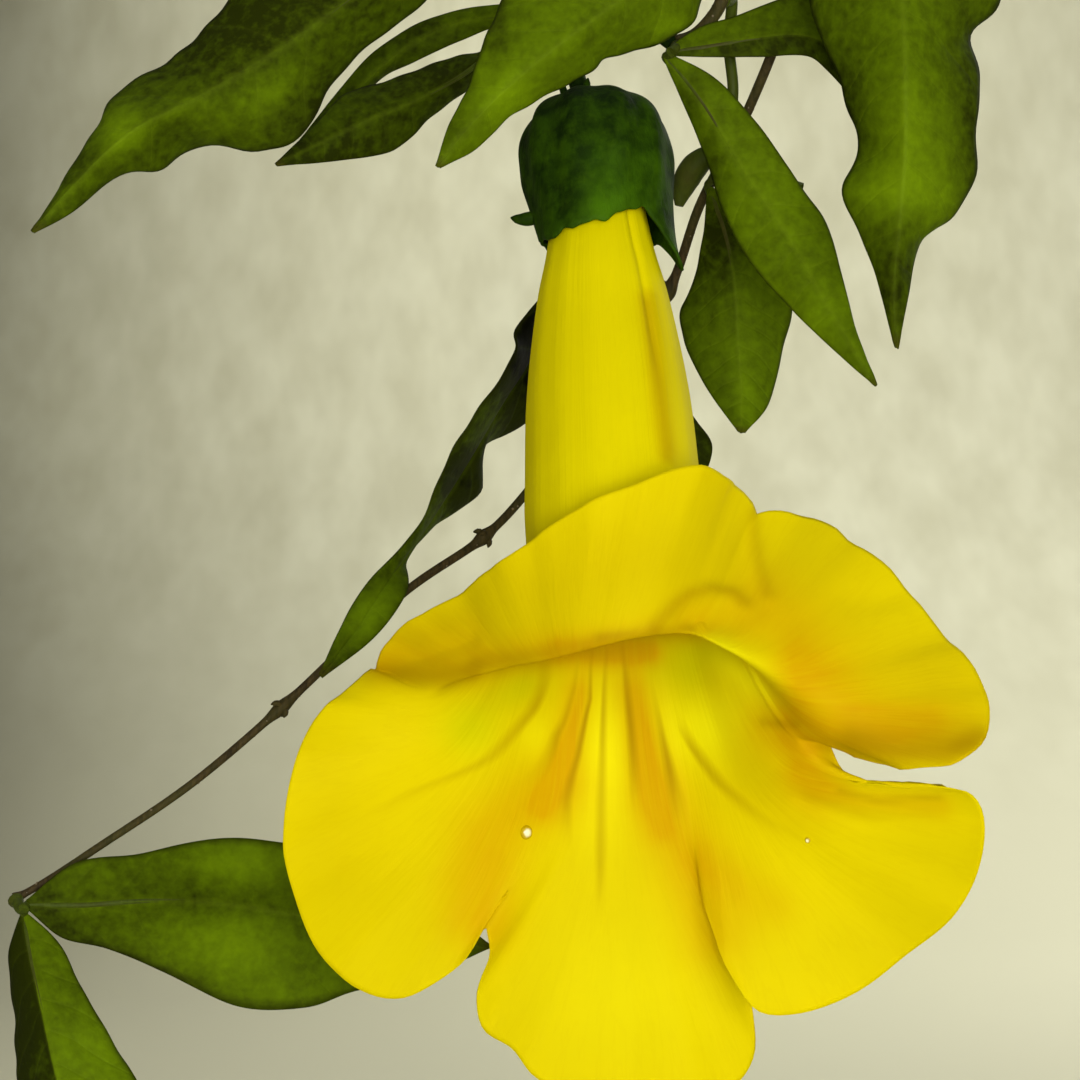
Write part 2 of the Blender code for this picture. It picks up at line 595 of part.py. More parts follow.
def leaf_upper_left(finish):
    """The pair at the upper left: one long leaflet and one below it."""
    long_leaflet = seen_blade(
        "long_leaflet",
        [(515, -133, 34), (440, -135, 33), (330, -80, 32), (250, -22, 31), (205, 25, 30), (172, 62, 30),
         (112, 96, 28), (92, 135, 26), (58, 192, 24), (31, 231, 22)],
        [(520, -130, 34), (400, -40, 28), (290, 42, 25), (200, 96, 24), (130, 133, 22), (75, 184, 22),
         (32, 232, 22)],
        [(523, -126, 34), (480, -70, 33), (425, 0, 32), (372, 42, 31), (330, 90, 30), (300, 135, 30),
         (262, 151, 30), (195, 149, 29), (158, 169, 27), (125, 173, 25), (70, 214, 23), (34, 233, 22)],
        waves=4.0)
    lower_leaflet = seen_blade(
        "lower_leaflet",
        [(513, -42, 40), (500, 10, 42), (487, 46, 42), (455, 57, 43), (420, 70, 43), (380, 82, 43),
         (346, 94, 42), (320, 120, 40), (275, 164, 36)],
        [(515, -40, 40), (490, 50, 40), (425, 96, 40), (370, 119, 39), (320, 143, 38), (276, 165, 36)],
        [(518, -38, 40), (500, 45, 41), (470, 86, 43), (430, 119, 43), (392, 150, 42), (335, 161, 39),
         (277, 166, 36)],
        shift=0.8)
    petiole = bud(NODE_PEAK, (-0.1, -1.0, 0.5)) + [place(-60.0, -9.0, 347.0), place(-73.0, -7.5, 339.0),
                                                   place(-82.5, -3.0, 328.5)]
    blades = [(long_leaflet, sight(520, -130, 34), sight(460, -85, 31)),
              (lower_leaflet, sight(515, -40, 40), sight(497, 10, 40))]
    compound_leaf("leaf_upper_left", petiole, blades, finish)


def leaf_over_flower(finish):
    """The pair in front: a waved leaflet over the calyx and a broad one at the right."""
    waved_leaflet = seen_blade(
        "waved_leaflet",
        [(742, -124, 18), (640, -122, 14), (565, -86, 11), (508, -15, 9), (488, 35, 8), (470, 82, 8),
         (452, 118, 8), (436, 166, 8)],
        [(745, -121, 18), (700, -75, 11), (650, -25, 8), (600, 15, 6), (550, 52, 5), (500, 95, 6),
         (465, 132, 7), (437, 167, 8)],
        [(748, -118, 18), (728, -70, 16), (702, -10, 14), (690, 24, 13), (650, 49, 12), (604, 57, 11),
         (585, 74, 10), (548, 97, 10), (506, 118, 9), (474, 150, 9), (440, 168, 8)],
        waves=3.5, shift=0.5)
    broad_leaflet = seen_blade(
        "broad_leaflet",
        [(881, -148, 20), (836, -115, 20), (812, -60, 19), (812, 10, 18), (836, 66, 17), (847, 112, 16),
         (858, 150, 16), (844, 190, 15), (862, 238, 13), (880, 292, 10), (895, 347, 8)],
        [(885, -150, 20), (898, -60, 14), (903, 10, 11), (905, 80, 9), (905, 150, 9), (900, 220, 9),
         (894, 290, 8), (896, 348, 8)],
        [(890, -151, 20), (955, -120, 20), (1002, -40, 20), (998, 5, 19), (973, 36, 18), (981, 76, 17),
         (974, 125, 16), (974, 178, 16), (955, 216, 15), (920, 244, 13), (908, 292, 10), (898, 349, 8)],
        waves=3.0, shift=2.0)
    petiole = bud(NODE_FORK, (0.9, -1.0, -0.6)) + [place(-58.5, -10.5, 329.0)]
    blades = [(waved_leaflet, sight(745, -121, 18), sight(700, -75, 12)),
              (broad_leaflet, sight(885, -150, 20), sight(896, -90, 15))]
    compound_leaf("leaf_over_flower", petiole, blades, finish)


def leaf_right_of_flower(finish):
    """The pair at the flower's node: a short leaflet to the right, a long one below."""
    short_leaflet = seen_blade(
        "short_leaflet",
        [(669, 47, 25), (700, 27, 26), (740, 14, 27), (790, -2, 29), (840, 2, 30), (875, 35, 31),
         (903, 128, 32)],
        [(670, 52, 25), (715, 45, 25), (765, 37, 26), (805, 36, 27), (845, 55, 29), (878, 90, 30),
         (904, 130, 32)],
        [(671, 56, 25), (700, 57, 25), (760, 57, 26), (812, 57, 27), (838, 82, 29), (862, 112, 30),
         (903, 133, 32)],
        waves=2.0)
    long_leaflet = seen_blade(
        "long_leaflet",
        [(663, 58, 25), (681, 97, 25), (703, 152, 25), (724, 213, 24), (750, 262, 22), (790, 308, 20),
         (845, 360, 16), (875, 386, 14)],
        [(665, 56, 25), (702, 102, 23.5), (745, 172, 22.5), (790, 240, 20.5), (825, 302, 18), (855, 350, 15.5),
         (876, 386, 14)],
        [(668, 53, 25), (715, 78, 24), (757, 124, 24), (800, 185, 23), (826, 222, 22), (840, 270, 20),
         (856, 330, 17), (877, 385, 14)],
        waves=2.5, shift=1.5)
    start = seat(sight(*SHOOT_IN_VIEW[-1]), SHOOT_NODE_RADIUS, (-0.15, -1.0, -0.2))
    petiole = start + [sight(671, 53, 24.6)]
    blades = [(short_leaflet, sight(670, 52, 25), sight(715, 45, 25)),
              (long_leaflet, sight(665, 56, 25), sight(702, 102, 23))]
    compound_leaf("leaf_right_of_flower", petiole, blades, finish)


def leaf_behind_flower_node(finish):
    """The opposite leaf at the flower's node: it leaves to the left, behind."""
    far_leaflet = seen_blade(
        "far_leaflet",
        [(604, -3, 40), (540, 3, 46), (470, 8, 50), (425, 20, 51), (375, 52, 51), (330, 102, 51),
         (300, 140, 49)],
        [(606, 0, 40), (540, 13, 45), (470, 20, 49), (430, 34, 50), (385, 64, 50), (340, 108, 50),
         (301, 141, 49)],
        [(607, 3, 40), (550, 23, 45), (497, 27, 49), (460, 41, 50), (430, 54, 51), (400, 68, 52),
         (380, 80, 52), (345, 118, 51), (303, 142, 49)],
        waves=2.0)
    rising_leaflet = lance_blade("rising_leaflet", sight(614, -8, 42), sight(570, -230, 70), 16.0,
                                 (-0.3, -0.8, 0.5), 5.4, shift=1.0)
    start = seat(sight(*SHOOT_IN_VIEW[-1]), SHOOT_NODE_RADIUS, (-0.3, 1.0, 0.3))
    petiole = start + [sight(656, 24, 35), sight(618, 2, 40)]
    blades = [(far_leaflet, sight(606, 0, 40), sight(575, 6, 42)),
              (rising_leaflet, sight(614, -8, 42), sight(610, -30, 45))]
    compound_leaf("leaf_behind_flower_node", petiole, blades, finish)


def leaf_right_behind(finish):
    """The hanging pair right of the tube, and the leafy scale where it forks."""
    hanging_leaflet = seen_blade(
        "hanging_leaflet",
        [(707, 190, 36), (703, 240, 42), (693, 282, 45), (680, 310, 45), (684, 338, 45), (703, 382, 42),
         (738, 432, 38)],
        [(709, 187, 36), (727, 240, 40), (735, 290, 41), (738, 340, 41), (741, 390, 40), (741, 433, 38)],
        [(711, 186, 36), (745, 210, 41), (776, 250, 44), (791, 300, 45), (783, 350, 44), (768, 405, 41),
         (745, 433, 38)],
        waves=2.0, shift=0.4)
    back_leaflet = lance_blade("back_leaflet", sight(742, 181, 38), sight(782, 250, 82), 9.0,
                               (0.2, -0.3, 0.9), 4.5, shift=2.0)
    route = [sight(*point) for point in SCALE_LEAF]
    steps = np.linspace(0.0, 1.0, len(SCALE_RADII))
    scale_leaf = stalk("scale_leaf", curve(route, steps), SCALE_RADII, resolution=2)
    start = seat(sight(*SHOOT_IN_VIEW[1]), SHOOT_RADIUS, (0.6, 1.0, 0.2))
    petiole = start + [sight(729, 45, 31), sight(733, 92, 31), sight(727, 140, 32), sight(716, 174, 34)]
    blades = [(hanging_leaflet, sight(709, 187, 36), sight(718, 215, 38)),
              (scale_leaf, route[0], route[1]),
              (back_leaflet, sight(742, 181, 38), sight(747, 190, 44))]
    compound_leaf("leaf_right_behind", petiole, blades, finish)


def leaf_left_of_tube(finish):
    """The pair behind the tube: a waved leaflet seen edge-on, one almost hidden."""
    edge_leaflet = seen_blade(
        "edge_leaflet",
        [(583, 236, 49), (545, 292, 45), (517, 330, 43), (515, 350, 42), (478, 408, 41), (448, 463, 40),
         (415, 528, 39), (362, 590, 34), (338, 632, 30), (319, 674, 28)],
        [(587, 238, 49), (556, 300, 50), (530, 360, 50), (503, 402, 49), (466, 465, 47), (428, 524, 43),
         (386, 584, 36), (356, 630, 31), (320, 676, 28)],
        [(590, 241, 49), (565, 330, 54), (540, 408, 56), (505, 435, 55), (480, 452, 53), (480, 490, 51),
         (440, 520, 48), (408, 556, 42), (407, 592, 36), (375, 637, 31), (322, 678, 28)],
        waves=3.5, shift=1.0)
    hidden_leaflet = seen_blade(
        "hidden_leaflet",
        [(597, 241, 51), (598, 300, 53), (606, 360, 56), (618, 420, 59), (632, 470, 61), (645, 512, 62),
         (656, 541, 62)],
        [(599, 240, 51), (618, 300, 53), (638, 360, 56), (656, 420, 58), (667, 460, 60), (664, 505, 61),
         (657, 542, 62)],
        [(601, 239, 51), (638, 300, 54), (662, 360, 57), (681, 398, 59), (697, 421, 60), (712, 444, 60),
         (707, 470, 60), (686, 508, 61), (658, 543, 62)],
        waves=1.0)
    route = [sight(640, 262, 51), sight(610, 240, 51), sight(594, 232, 50)]
    petiole = bud(NODE_BEHIND_TUBE, (-0.6, 0.8, 0.6)) + route
    blades = [(edge_leaflet, sight(587, 238, 49), sight(572, 270, 49.5)),
              (hidden_leaflet, sight(598, 240, 51), sight(603, 275, 53))]
    compound_leaf("leaf_left_of_tube", petiole, blades, finish)


def leaf_lower_left(finish):
    """The pair at the stem's end: one leaflet behind the lobe, one that hangs."""
    level_leaflet = seen_blade(
        "level_leaflet",
        [(26, 900, 25), (75, 863, 27), (140, 853, 29), (215, 839, 32), (285, 843, 34), (360, 858, 36),
         (430, 896, 37), (489, 944, 38)],
        [(27, 905, 25), (85, 905, 25), (150, 901, 26), (220, 903, 29), (290, 914, 32), (370, 926, 35),
         (490, 946, 38)],
        [(29, 911, 25), (62, 938, 26), (108, 948, 28), (165, 972, 30), (238, 1007, 33), (305, 1008, 35),
         (350, 992, 37), (430, 974, 38), (490, 948, 38)],
        waves=2.0)
    hanging_leaflet = seen_blade(
        "hanging_leaflet",
        [(20, 915, 25), (10, 955, 25), (14, 1030, 25), (24, 1090, 24), (50, 1150, 22), (118, 1240, 16)],
        [(23, 914, 25), (32, 965, 22), (44, 1020, 19), (58, 1080, 17), (80, 1150, 15), (121, 1243, 14)],
        [(27, 913, 25), (60, 944, 24), (82, 990, 22), (115, 1045, 20), (142, 1090, 18), (158, 1150, 16),
         (124, 1244, 14)],
        waves=2.5, shift=1.2)
    petiole = bud(NODE_END, (0.5, -1.0, -0.5)) + [sight(24, 909, 24.6)]
    blades = [(level_leaflet, sight(27, 905, 25), sight(60, 905, 25)),
              (hanging_leaflet, sight(23, 914, 25), sight(28, 945, 23))]
    compound_leaf("leaf_lower_left", petiole, blades, finish)


def leaf_above_vase(finish):
    """A pair out of the photograph's view, low on the standing stem."""
    outer = lance_blade("outer_leaflet", place(4.0, -15.0, 208.0), place(50.0, -34.0, 172.0), 22.0,
                        (0.6, -0.3, 0.75), 12.0)
    upper = lance_blade("upper_leaflet", place(2.0, -17.0, 212.0), place(26.0, -50.0, 236.0), 19.0,
                        (-0.2, -0.2, 0.95), 6.0, shift=1.7)
    petiole = bud(NODE_LOW, (0.6, -1.0, 0.2)) + [place(-8.0, -4.0, 200.5), place(-1.0, -12.0, 207.0)]
    blades = [(outer, place(4.0, -15.0, 208.0), place(14.0, -19.0, 207.0)),
              (upper, place(2.0, -17.0, 212.0), place(8.0, -25.0, 219.0))]
    compound_leaf("leaf_above_vase", petiole, blades, finish)


def leaf_mid_stem(finish):
    """A pair out of the photograph's view, halfway up the standing stem."""
    outer = lance_blade("outer_leaflet", place(2.0, 26.0, 264.0), place(44.0, 46.0, 236.0), 20.0,
                        (0.6, 0.1, 0.8), 10.0, shift=0.9)
    upper = lance_blade("upper_leaflet", place(-2.0, 27.0, 267.0), place(16.0, 52.0, 308.0), 18.0,
                        (0.3, -0.8, 0.5), 5.0)
    petiole = bud(NODE_MID, (0.7, 1.0, 0.15)) + [place(-12.0, 16.0, 256.0), place(-5.0, 23.0, 262.0)]
    blades = [(outer, place(2.0, 26.0, 264.0), place(12.0, 31.0, 262.0)),
              (upper, place(-2.0, 27.0, 267.0), place(2.0, 33.0, 276.0))]
    compound_leaf("leaf_mid_stem", petiole, blades, finish)


def leaf_at_peak(finish):
    """A pair out of the photograph's view, at the top of the arch."""
    outer = lance_blade("outer_leaflet", place(-34.0, 13.0, 360.0), place(8.0, 22.0, 352.0), 20.0,
                        (0.1, -0.3, 0.95), 12.0)
    upper = lance_blade("upper_leaflet", place(-39.0, 15.0, 362.0), place(-42.0, 58.0, 376.0), 19.0,
                        (0.0, -0.4, 0.9), 7.0, shift=2.4)
    petiole = bud(NODE_PEAK, (0.3, 0.8, 1.0)) + [place(-39.0, 11.0, 358.0)]
    blades = [(outer, place(-34.0, 13.0, 360.0), place(-24.0, 15.0, 362.0)),
              (upper, place(-39.0, 15.0, 362.0), place(-39.7, 25.0, 367.0))]
    compound_leaf("leaf_at_peak", petiole, blades, finish)


def main():
    for old in list(bpy.data.objects):
        bpy.data.objects.remove(old)
    leaf_green = material("leaf_green", (0.10, 0.17, 0.01), 0.5)
    make_vase(material("ivory_glaze", (0.72, 0.66, 0.53), 0.3))
    make_water(material("water", (0.75, 0.82, 0.80), 0.05))
    make_stem(material("stem_brown", (0.075, 0.05, 0.018), 0.65))
    make_calyx(material("calyx_green", (0.03, 0.075, 0.005), 0.45))
    make_corolla(material("petal_yellow", (0.80, 0.62, 0.0), 0.5))
    make_pistil_and_stamens(material("stamen_cream", (0.82, 0.75, 0.40), 0.5))
    for make_leaf in (leaf_upper_left, leaf_over_flower, leaf_right_of_flower, leaf_behind_flower_node,
                      leaf_right_behind, leaf_left_of_tube, leaf_lower_left, leaf_above_vase,
                      leaf_mid_stem, leaf_at_peak):
        make_leaf(leaf_green)


main()
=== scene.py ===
# %% [markdown]
# # A flowering vine cutting in a bottle vase
# A woody twining stem stands in water, arches over and hangs down at the left. One
# open yellow trumpet flower hangs from it among leaves in pairs, two waved leaflets
# to a leaf. The solids of every piece are loaded first: they say where each piece is
# and how large it may be. A finer mesh with its own finish then replaces each one.

# %% Load the solids
from math import cos, pi, radians, sin

import bmesh
import bpy
import numpy as np
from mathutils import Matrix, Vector


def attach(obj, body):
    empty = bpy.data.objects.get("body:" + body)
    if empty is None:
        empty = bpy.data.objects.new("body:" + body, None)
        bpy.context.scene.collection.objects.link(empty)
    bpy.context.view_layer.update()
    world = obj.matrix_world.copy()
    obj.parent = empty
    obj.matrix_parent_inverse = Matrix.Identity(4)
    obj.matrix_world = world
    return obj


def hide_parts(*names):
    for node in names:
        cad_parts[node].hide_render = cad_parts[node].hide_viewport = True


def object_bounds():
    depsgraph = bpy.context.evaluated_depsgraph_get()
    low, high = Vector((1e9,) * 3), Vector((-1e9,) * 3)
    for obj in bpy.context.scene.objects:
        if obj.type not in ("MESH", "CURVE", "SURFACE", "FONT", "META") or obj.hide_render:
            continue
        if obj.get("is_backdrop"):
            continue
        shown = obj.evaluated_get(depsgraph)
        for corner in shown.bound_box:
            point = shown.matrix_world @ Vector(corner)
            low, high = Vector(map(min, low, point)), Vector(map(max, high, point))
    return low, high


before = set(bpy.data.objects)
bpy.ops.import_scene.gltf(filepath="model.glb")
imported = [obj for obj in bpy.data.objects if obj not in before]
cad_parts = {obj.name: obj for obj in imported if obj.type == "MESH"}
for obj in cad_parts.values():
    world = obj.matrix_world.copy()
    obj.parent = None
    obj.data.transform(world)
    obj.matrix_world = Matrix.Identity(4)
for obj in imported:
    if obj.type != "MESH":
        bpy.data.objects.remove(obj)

MM = 0.001
CAD_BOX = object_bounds()
print("solids", len(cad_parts), "size in mm", [round(v / MM, 1) for v in CAD_BOX[1] - CAD_BOX[0]])

# %% [markdown]
# ## Places read on the photograph's grid
# A plant has no drawing, so its outline is read from the photograph: a column, a row
# and a guessed depth. `sight` turns them into metres with the same perspective that
# the camera has, which keeps a reading true wherever it lies in depth. A smooth curve
# through a few such points gives every margin and stem. A spline object could do
# that too, but a formula gives points at any spacing, with no object to tidy away.

# %% The grid and the smooth curve
GRID = 0.0945
DEPTH_STEP = 0.9
GRID_CENTRE = 540
VIEW_CENTRE = (-92.0, 250.0)
FOCUS_DEPTH = -30.0
VIEW_DISTANCE = 340.0


def sight(column, row, depth):
    """Metres in the frame of a point read on the photograph's grid."""
    behind = depth * DEPTH_STEP
    spread = GRID * (1.0 + behind / VIEW_DISTANCE)
    x = VIEW_CENTRE[0] + (column - GRID_CENTRE) * spread
    z = VIEW_CENTRE[1] + (GRID_CENTRE - row) * spread
    return np.array((x, FOCUS_DEPTH + behind, z)) * MM


def sights(points):
    return np.array([sight(*point) for point in points])


def seen_at(points):
    """Column and row on the grid of points in metres."""
    behind = points[..., 1] / MM - FOCUS_DEPTH
    spread = GRID * (1.0 + behind / VIEW_DISTANCE)
    columns = GRID_CENTRE + (points[..., 0] / MM - VIEW_CENTRE[0]) / spread
    rows = GRID_CENTRE - (points[..., 2] / MM - VIEW_CENTRE[1]) / spread
    return np.stack([columns, rows], axis=-1)


def place(x, y, z):
    """Metres of a point given in millimetres."""
    return np.array((x, y, z)) * MM


def unit(vector):
    return np.array(vector, float) / np.linalg.norm(vector)


def hermite(points, knots, at):
    """Points at the values `at` on the smooth curve through `points` at `knots`."""
    gaps = np.diff(knots)[:, None]
    chord = np.diff(points, axis=0) / gaps
    inner = (chord[1:] * gaps[:-1] + chord[:-1] * gaps[1:]) / (gaps[1:] + gaps[:-1])
    slope = np.concatenate([chord[:1], inner, chord[-1:]])
    i = np.clip(np.searchsorted(knots, at, side="right") - 1, 0, len(knots) - 2)
    run = (knots[i + 1] - knots[i])[:, None]
    u = ((at - knots[i])[:, None]) / run
    start = (2 * u**3 - 3 * u**2 + 1) * points[i] + (u**3 - 2 * u**2 + u) * run * slope[i]
    return start + (3 * u**2 - 2 * u**3) * points[i + 1] + (u**3 - u**2) * run * slope[i + 1]


def spacing(points):
    """Knots from 0 to 1 that follow the distances between the points."""
    gaps = np.linalg.norm(np.diff(points, axis=0), axis=1) ** 0.5
    knots = np.concatenate([[0.0], np.cumsum(gaps)])
    return knots / knots[-1]


def curve(points, at):
    """Points at `at`, from 0 to 1, on the smooth curve through the given points."""
    points = np.asarray(points, float)
    return hermite(points, spacing(points), np.asarray(at, float))


def graded(at, stops):
    """Values read off the straight lines between (place, value) stops."""
    places, values = zip(*stops)
    return np.interp(at, places, values)


def rise(x, low, high):
    """0 below `low`, 1 above `high` and smooth in between."""
    t = np.clip((x - low) / (high - low), 0.0, 1.0)
    return t * t * (3.0 - 2.0 * t)


def bell(x, centre, reach):
    """1 at the centre, falling away smoothly within about twice the reach."""
    return np.exp(-(((x - centre) / reach) ** 2))


print("grid centre in mm", np.round(sight(GRID_CENTRE, GRID_CENTRE, 0) / MM, 1))

# %% [markdown]
# ## Camera
# The camera looks straight along +Y at the hanging flower, as the photograph does.
# Its lens follows from the width of the grid at the plane in focus, so that a point
# read at a column and row is drawn there. The vase stands below the picture's edge.

# %% Camera at the photograph's place
SENSOR = 36.0
NEAREST_SEEN = 0.01


def in_scene(name, data):
    """An object in the scene that holds this mesh, lamp or camera."""
    made = bpy.data.objects.new(name, data)
    bpy.context.scene.collection.objects.link(made)
    return made


lens = bpy.data.cameras.new("camera")
lens.sensor_width = SENSOR
lens.lens = SENSOR / 2 * VIEW_DISTANCE / (GRID * GRID_CENTRE)
lens.clip_start = NEAREST_SEEN
camera = in_scene("camera", lens)
camera.location = place(VIEW_CENTRE[0], FOCUS_DEPTH - VIEW_DISTANCE, VIEW_CENTRE[1])
camera.rotation_euler = (radians(90.0), 0.0, 0.0)
bpy.context.scene.camera = camera
bpy.context.scene.view_settings.view_transform = "Standard"
print("lens in mm", round(lens.lens, 1))

# %% [markdown]
# ## Nodes for the finishes
# A finish is a small tree of shader nodes. Building them one line each keeps a tree
# readable: `add` makes a node and fills its inputs, with a number, a colour or the
# output of another node. `lines` turns the places where a noise crosses its middle
# value into thin branching lines, which is how veins and cracks run.

# %% Helpers that add shader nodes
def add(tree, kind, options=None, **inputs):
    """Adds a node, sets its options and fills its inputs with values or outputs."""
    made = tree.nodes.new(kind)
    for name, value in (options or {}).items():
        setattr(made, name, value)
    for name, value in inputs.items():
        socket = made.inputs[name.replace("_", " ")]
        if isinstance(value, bpy.types.NodeSocket):
            tree.links.new(value, socket)
        else:
            socket.default_value = value
    return made


def feed(tree, made, number, value):
    if isinstance(value, bpy.types.NodeSocket):
        tree.links.new(value, made.inputs[number])
    else:
        made.inputs[number].default_value = value


def calc(tree, operation, *values, clamp=False):
    """One step of arithmetic on one, two or three values."""
    made = add(tree, "ShaderNodeMath", {"operation": operation, "use_clamp": clamp})
    for number, value in enumerate(values):
        feed(tree, made, number, value)
    return made.outputs[0]


def blended(tree, share, low, high, kind="MIX"):
    """A colour between two others, or one put over the other."""
    made = add(tree, "ShaderNodeMix", {"data_type": "RGBA", "blend_type": kind})
    for number, value in ((0, share), (6, low), (7, high)):
        feed(tree, made, number, value + (1.0,) if isinstance(value, tuple) else value)
    return made.outputs[2]


def laid_over(tree, below, share, most, colour):
    """A colour over another by a share from 0 to 1, which gives at most `most` of it."""
    return blended(tree, calc(tree, "MULTIPLY", share, most), below, colour)


def painted(tree, name, kind="Fac"):
    """A value that the mesh carries at each of its points."""
    return add(tree, "ShaderNodeAttribute", {"attribute_name": name}).outputs[kind]


def steps(tree, value, *stops):
    """A value passed through a list of (place, result) stops."""
    made = add(tree, "ShaderNodeValToRGB", Fac=value)
    ramp = made.color_ramp
    while len(ramp.elements) < len(stops):
        ramp.elements.new(1.0)
    for element, (where, result) in zip(ramp.elements, stops):
        element.position = where
        element.color = (result, result, result, 1.0)
    return made.outputs["Color"]


def between(tree, value, low, high, first=0.0, last=1.0):
    """A value that goes from `low` to `high` made one from `first` to `last`."""
    made = add(tree, "ShaderNodeMapRange", Value=value, From_Min=low, From_Max=high,
               To_Min=first, To_Max=last)
    return made.outputs["Result"]


def stretched(tree, vector, scale, turn=(0.0, 0.0, 0.0)):
    """Coordinates turned and scaled: a small scale draws a pattern out that way."""
    return add(tree, "ShaderNodeMapping", Vector=vector, Rotation=turn, Scale=scale).outputs["Vector"]


def cloud(tree, vector, scale, detail=3.0, rough=0.5):
    """Soft noise from 0 to 1, with its scale in lumps to a metre."""
    made = add(tree, "ShaderNodeTexNoise", Vector=vector, Scale=scale, Detail=detail, Roughness=rough)
    return made.outputs["Fac"]


def lines(tree, noise, width):
    """Thin lines, of value 1, where a noise crosses its middle."""
    off = calc(tree, "ABSOLUTE", calc(tree, "SUBTRACT", noise, 0.5))
    return calc(tree, "SUBTRACT", 1.0, calc(tree, "DIVIDE", off, width, clamp=True))


def coloured(tree, surface, colour):
    tree.links.new(colour, surface.inputs["Base Color"])


def bumped(tree, surface, height, strength, depth):
    """Raises the surface by a height from 0 to 1, at most `depth` metres."""
    made = add(tree, "ShaderNodeBump", Height=height, Strength=strength, Distance=depth)
    tree.links.new(made.outputs["Normal"], surface.inputs["Normal"])


def new_finish(name, **settings):
    """A material with its tree, its surface and the object's own coordinates."""
    made = bpy.data.materials.new(name)
    made.use_nodes = True
    tree = made.node_tree
    surface = tree.nodes["Principled BSDF"]
    for socket, value in settings.items():
        surface.inputs[socket.replace("_", " ")].default_value = value
    here = add(tree, "ShaderNodeTexCoord").outputs["Object"]
    return made, tree, surface, here


print("shader helpers ready")

# %% [markdown]
# ## Floor and wall
# The cutting stands on a plain pale floor, before a pale plastered wall. A round
# cove, a floor that curves up into a wall all round, gives that from every side with
# no line at the horizon. It is a turned surface, so it is written as rings of points.

# %% Mesh helpers and the cove
def ring_faces(rows, columns, closed, flipped=False):
    """Quads between neighbouring rows and columns of a grid of points."""
    faces = []
    for i in range(rows - 1):
        for j in range(columns if closed else columns - 1):
            k = (j + 1) % columns
            quad = (i * columns + j, (i + 1) * columns + j, (i + 1) * columns + k, i * columns + k)
            faces.append(quad[::-1] if flipped else quad)
    return faces


def new_object(name, points, faces, finishes=()):
    """A smooth-shaded mesh object in the scene, placed by its own points."""
    mesh = bpy.data.meshes.new(name)
    mesh.from_pydata(np.asarray(points).reshape(-1, 3).tolist(), [], faces)
    for finish in finishes:
        mesh.materials.append(finish)
    mesh.shade_smooth()
    return in_scene(name, mesh)


FLOOR_RADIUS = 1.9
COVE_RADIUS = 1.4
WALL_HEIGHT = 3.4
FLOOR_RINGS = (0.02, 0.5, 1.2)
CURVE_RINGS = 24
COVE_SIDES = 96
cove_line = [(radius, 0.0) for radius in FLOOR_RINGS]
for a in np.linspace(0.0, pi / 2, CURVE_RINGS):
    cove_line.append((FLOOR_RADIUS + COVE_RADIUS * sin(a), COVE_RADIUS * (1.0 - cos(a))))
cove_line.append((FLOOR_RADIUS + COVE_RADIUS, WALL_HEIGHT))
turn = np.linspace(0.0, 2 * pi, COVE_SIDES + 1)[:-1]
cove_points = np.array([[(r * cos(a), r * sin(a), z) for a in turn] for r, z in cove_line])
cove_faces = ring_faces(len(cove_line), COVE_SIDES, closed=True) + [tuple(range(COVE_SIDES))]
print("cove width in m", 2 * (FLOOR_RADIUS + COVE_RADIUS))

# %% [markdown]
# ## Wall paint
# The floor has one even tone. Soft slanted stains show in the plaster of the wall.
# The part of it behind the flower carries painted shade: it darkens to the left, and
# further in lower down, and its paint is darker at the right too, where the wash of
# light is strong. A lamp could shade the wall, but then the leaves would change with it.
# So the shade is painted into the colour, worked out from the place on the wall, and
# holds from every side.

# %% Stained plaster and painted shade
STAIN_LUMPS = 26.0
STAIN_TURN = (0.0, 0.4, 0.0)
STAIN_STRETCH = (1.0, 0.4, 0.45)
STAINS_FROM, STAINS_FULL = 0.02, 0.25
LOW_WALL, HIGH_WALL, LOW_SHIFT = 0.10, 0.37, -0.09
WALL_SHADE_LEFT, WALL_SHADE_RIGHT = -0.65, 1.45
WALL_SHADE_STOPS = [(0.015, 0.32), (0.065, 0.55), (0.115, 0.73), (0.17, 0.87), (0.22, 0.95), (0.335, 0.9),
       (0.48, 0.74), (0.75, 0.4)]
BEHIND_FROM, BEHIND_FULL = 0.6, 1.6
wall_paint, tree, surface, here = new_finish("pale_wall", Roughness=0.9, Specular_IOR_Level=0.1)
apart = add(tree, "ShaderNodeSeparateXYZ", Vector=here).outputs
stains = cloud(tree, stretched(tree, here, STAIN_STRETCH, STAIN_TURN), STAIN_LUMPS, 2.0, 0.6)
stains = calc(tree, "SUBTRACT", steps(tree, stains, (0.3, 0.0), (0.7, 1.0)), 0.5)
stains = calc(tree, "MULTIPLY", stains, between(tree, apart["Z"], STAINS_FROM, STAINS_FULL))
plaster = blended(tree, calc(tree, "ADD", stains, 0.5), (0.66, 0.645, 0.475), (0.78, 0.77, 0.59))
# Painted shade: the wall behind the flower darkens to the left, further in lower down, and at the right where
# the wash of light is strong
side = calc(tree, "ADD", apart["X"], between(tree, apart["Z"], LOW_WALL, HIGH_WALL, LOW_SHIFT, 0.0))
painted_wall_shade = steps(tree, between(tree, side, WALL_SHADE_LEFT, WALL_SHADE_RIGHT), *WALL_SHADE_STOPS)
behind = between(tree, apart["Y"], BEHIND_FROM, BEHIND_FULL)
coloured(tree, surface, blended(tree, behind, plaster, painted_wall_shade, "MULTIPLY"))
cove = new_object("cove", cove_points, cove_faces, [wall_paint])
cove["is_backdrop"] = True
print("wall paint nodes", len(tree.nodes))

# %% [markdown]
# ## Light
# The flower is lit from the front and from a little below, so that its throat is
# bright. Large area lamps give soft edges to the shadows. The wash lights the wall
# behind the flower from the right, and another lamp lights the wall behind the camera,
# so that the stage is as calm from the back. Each row is a lamp's place, what it aims
# at, its width, its power and its colour.

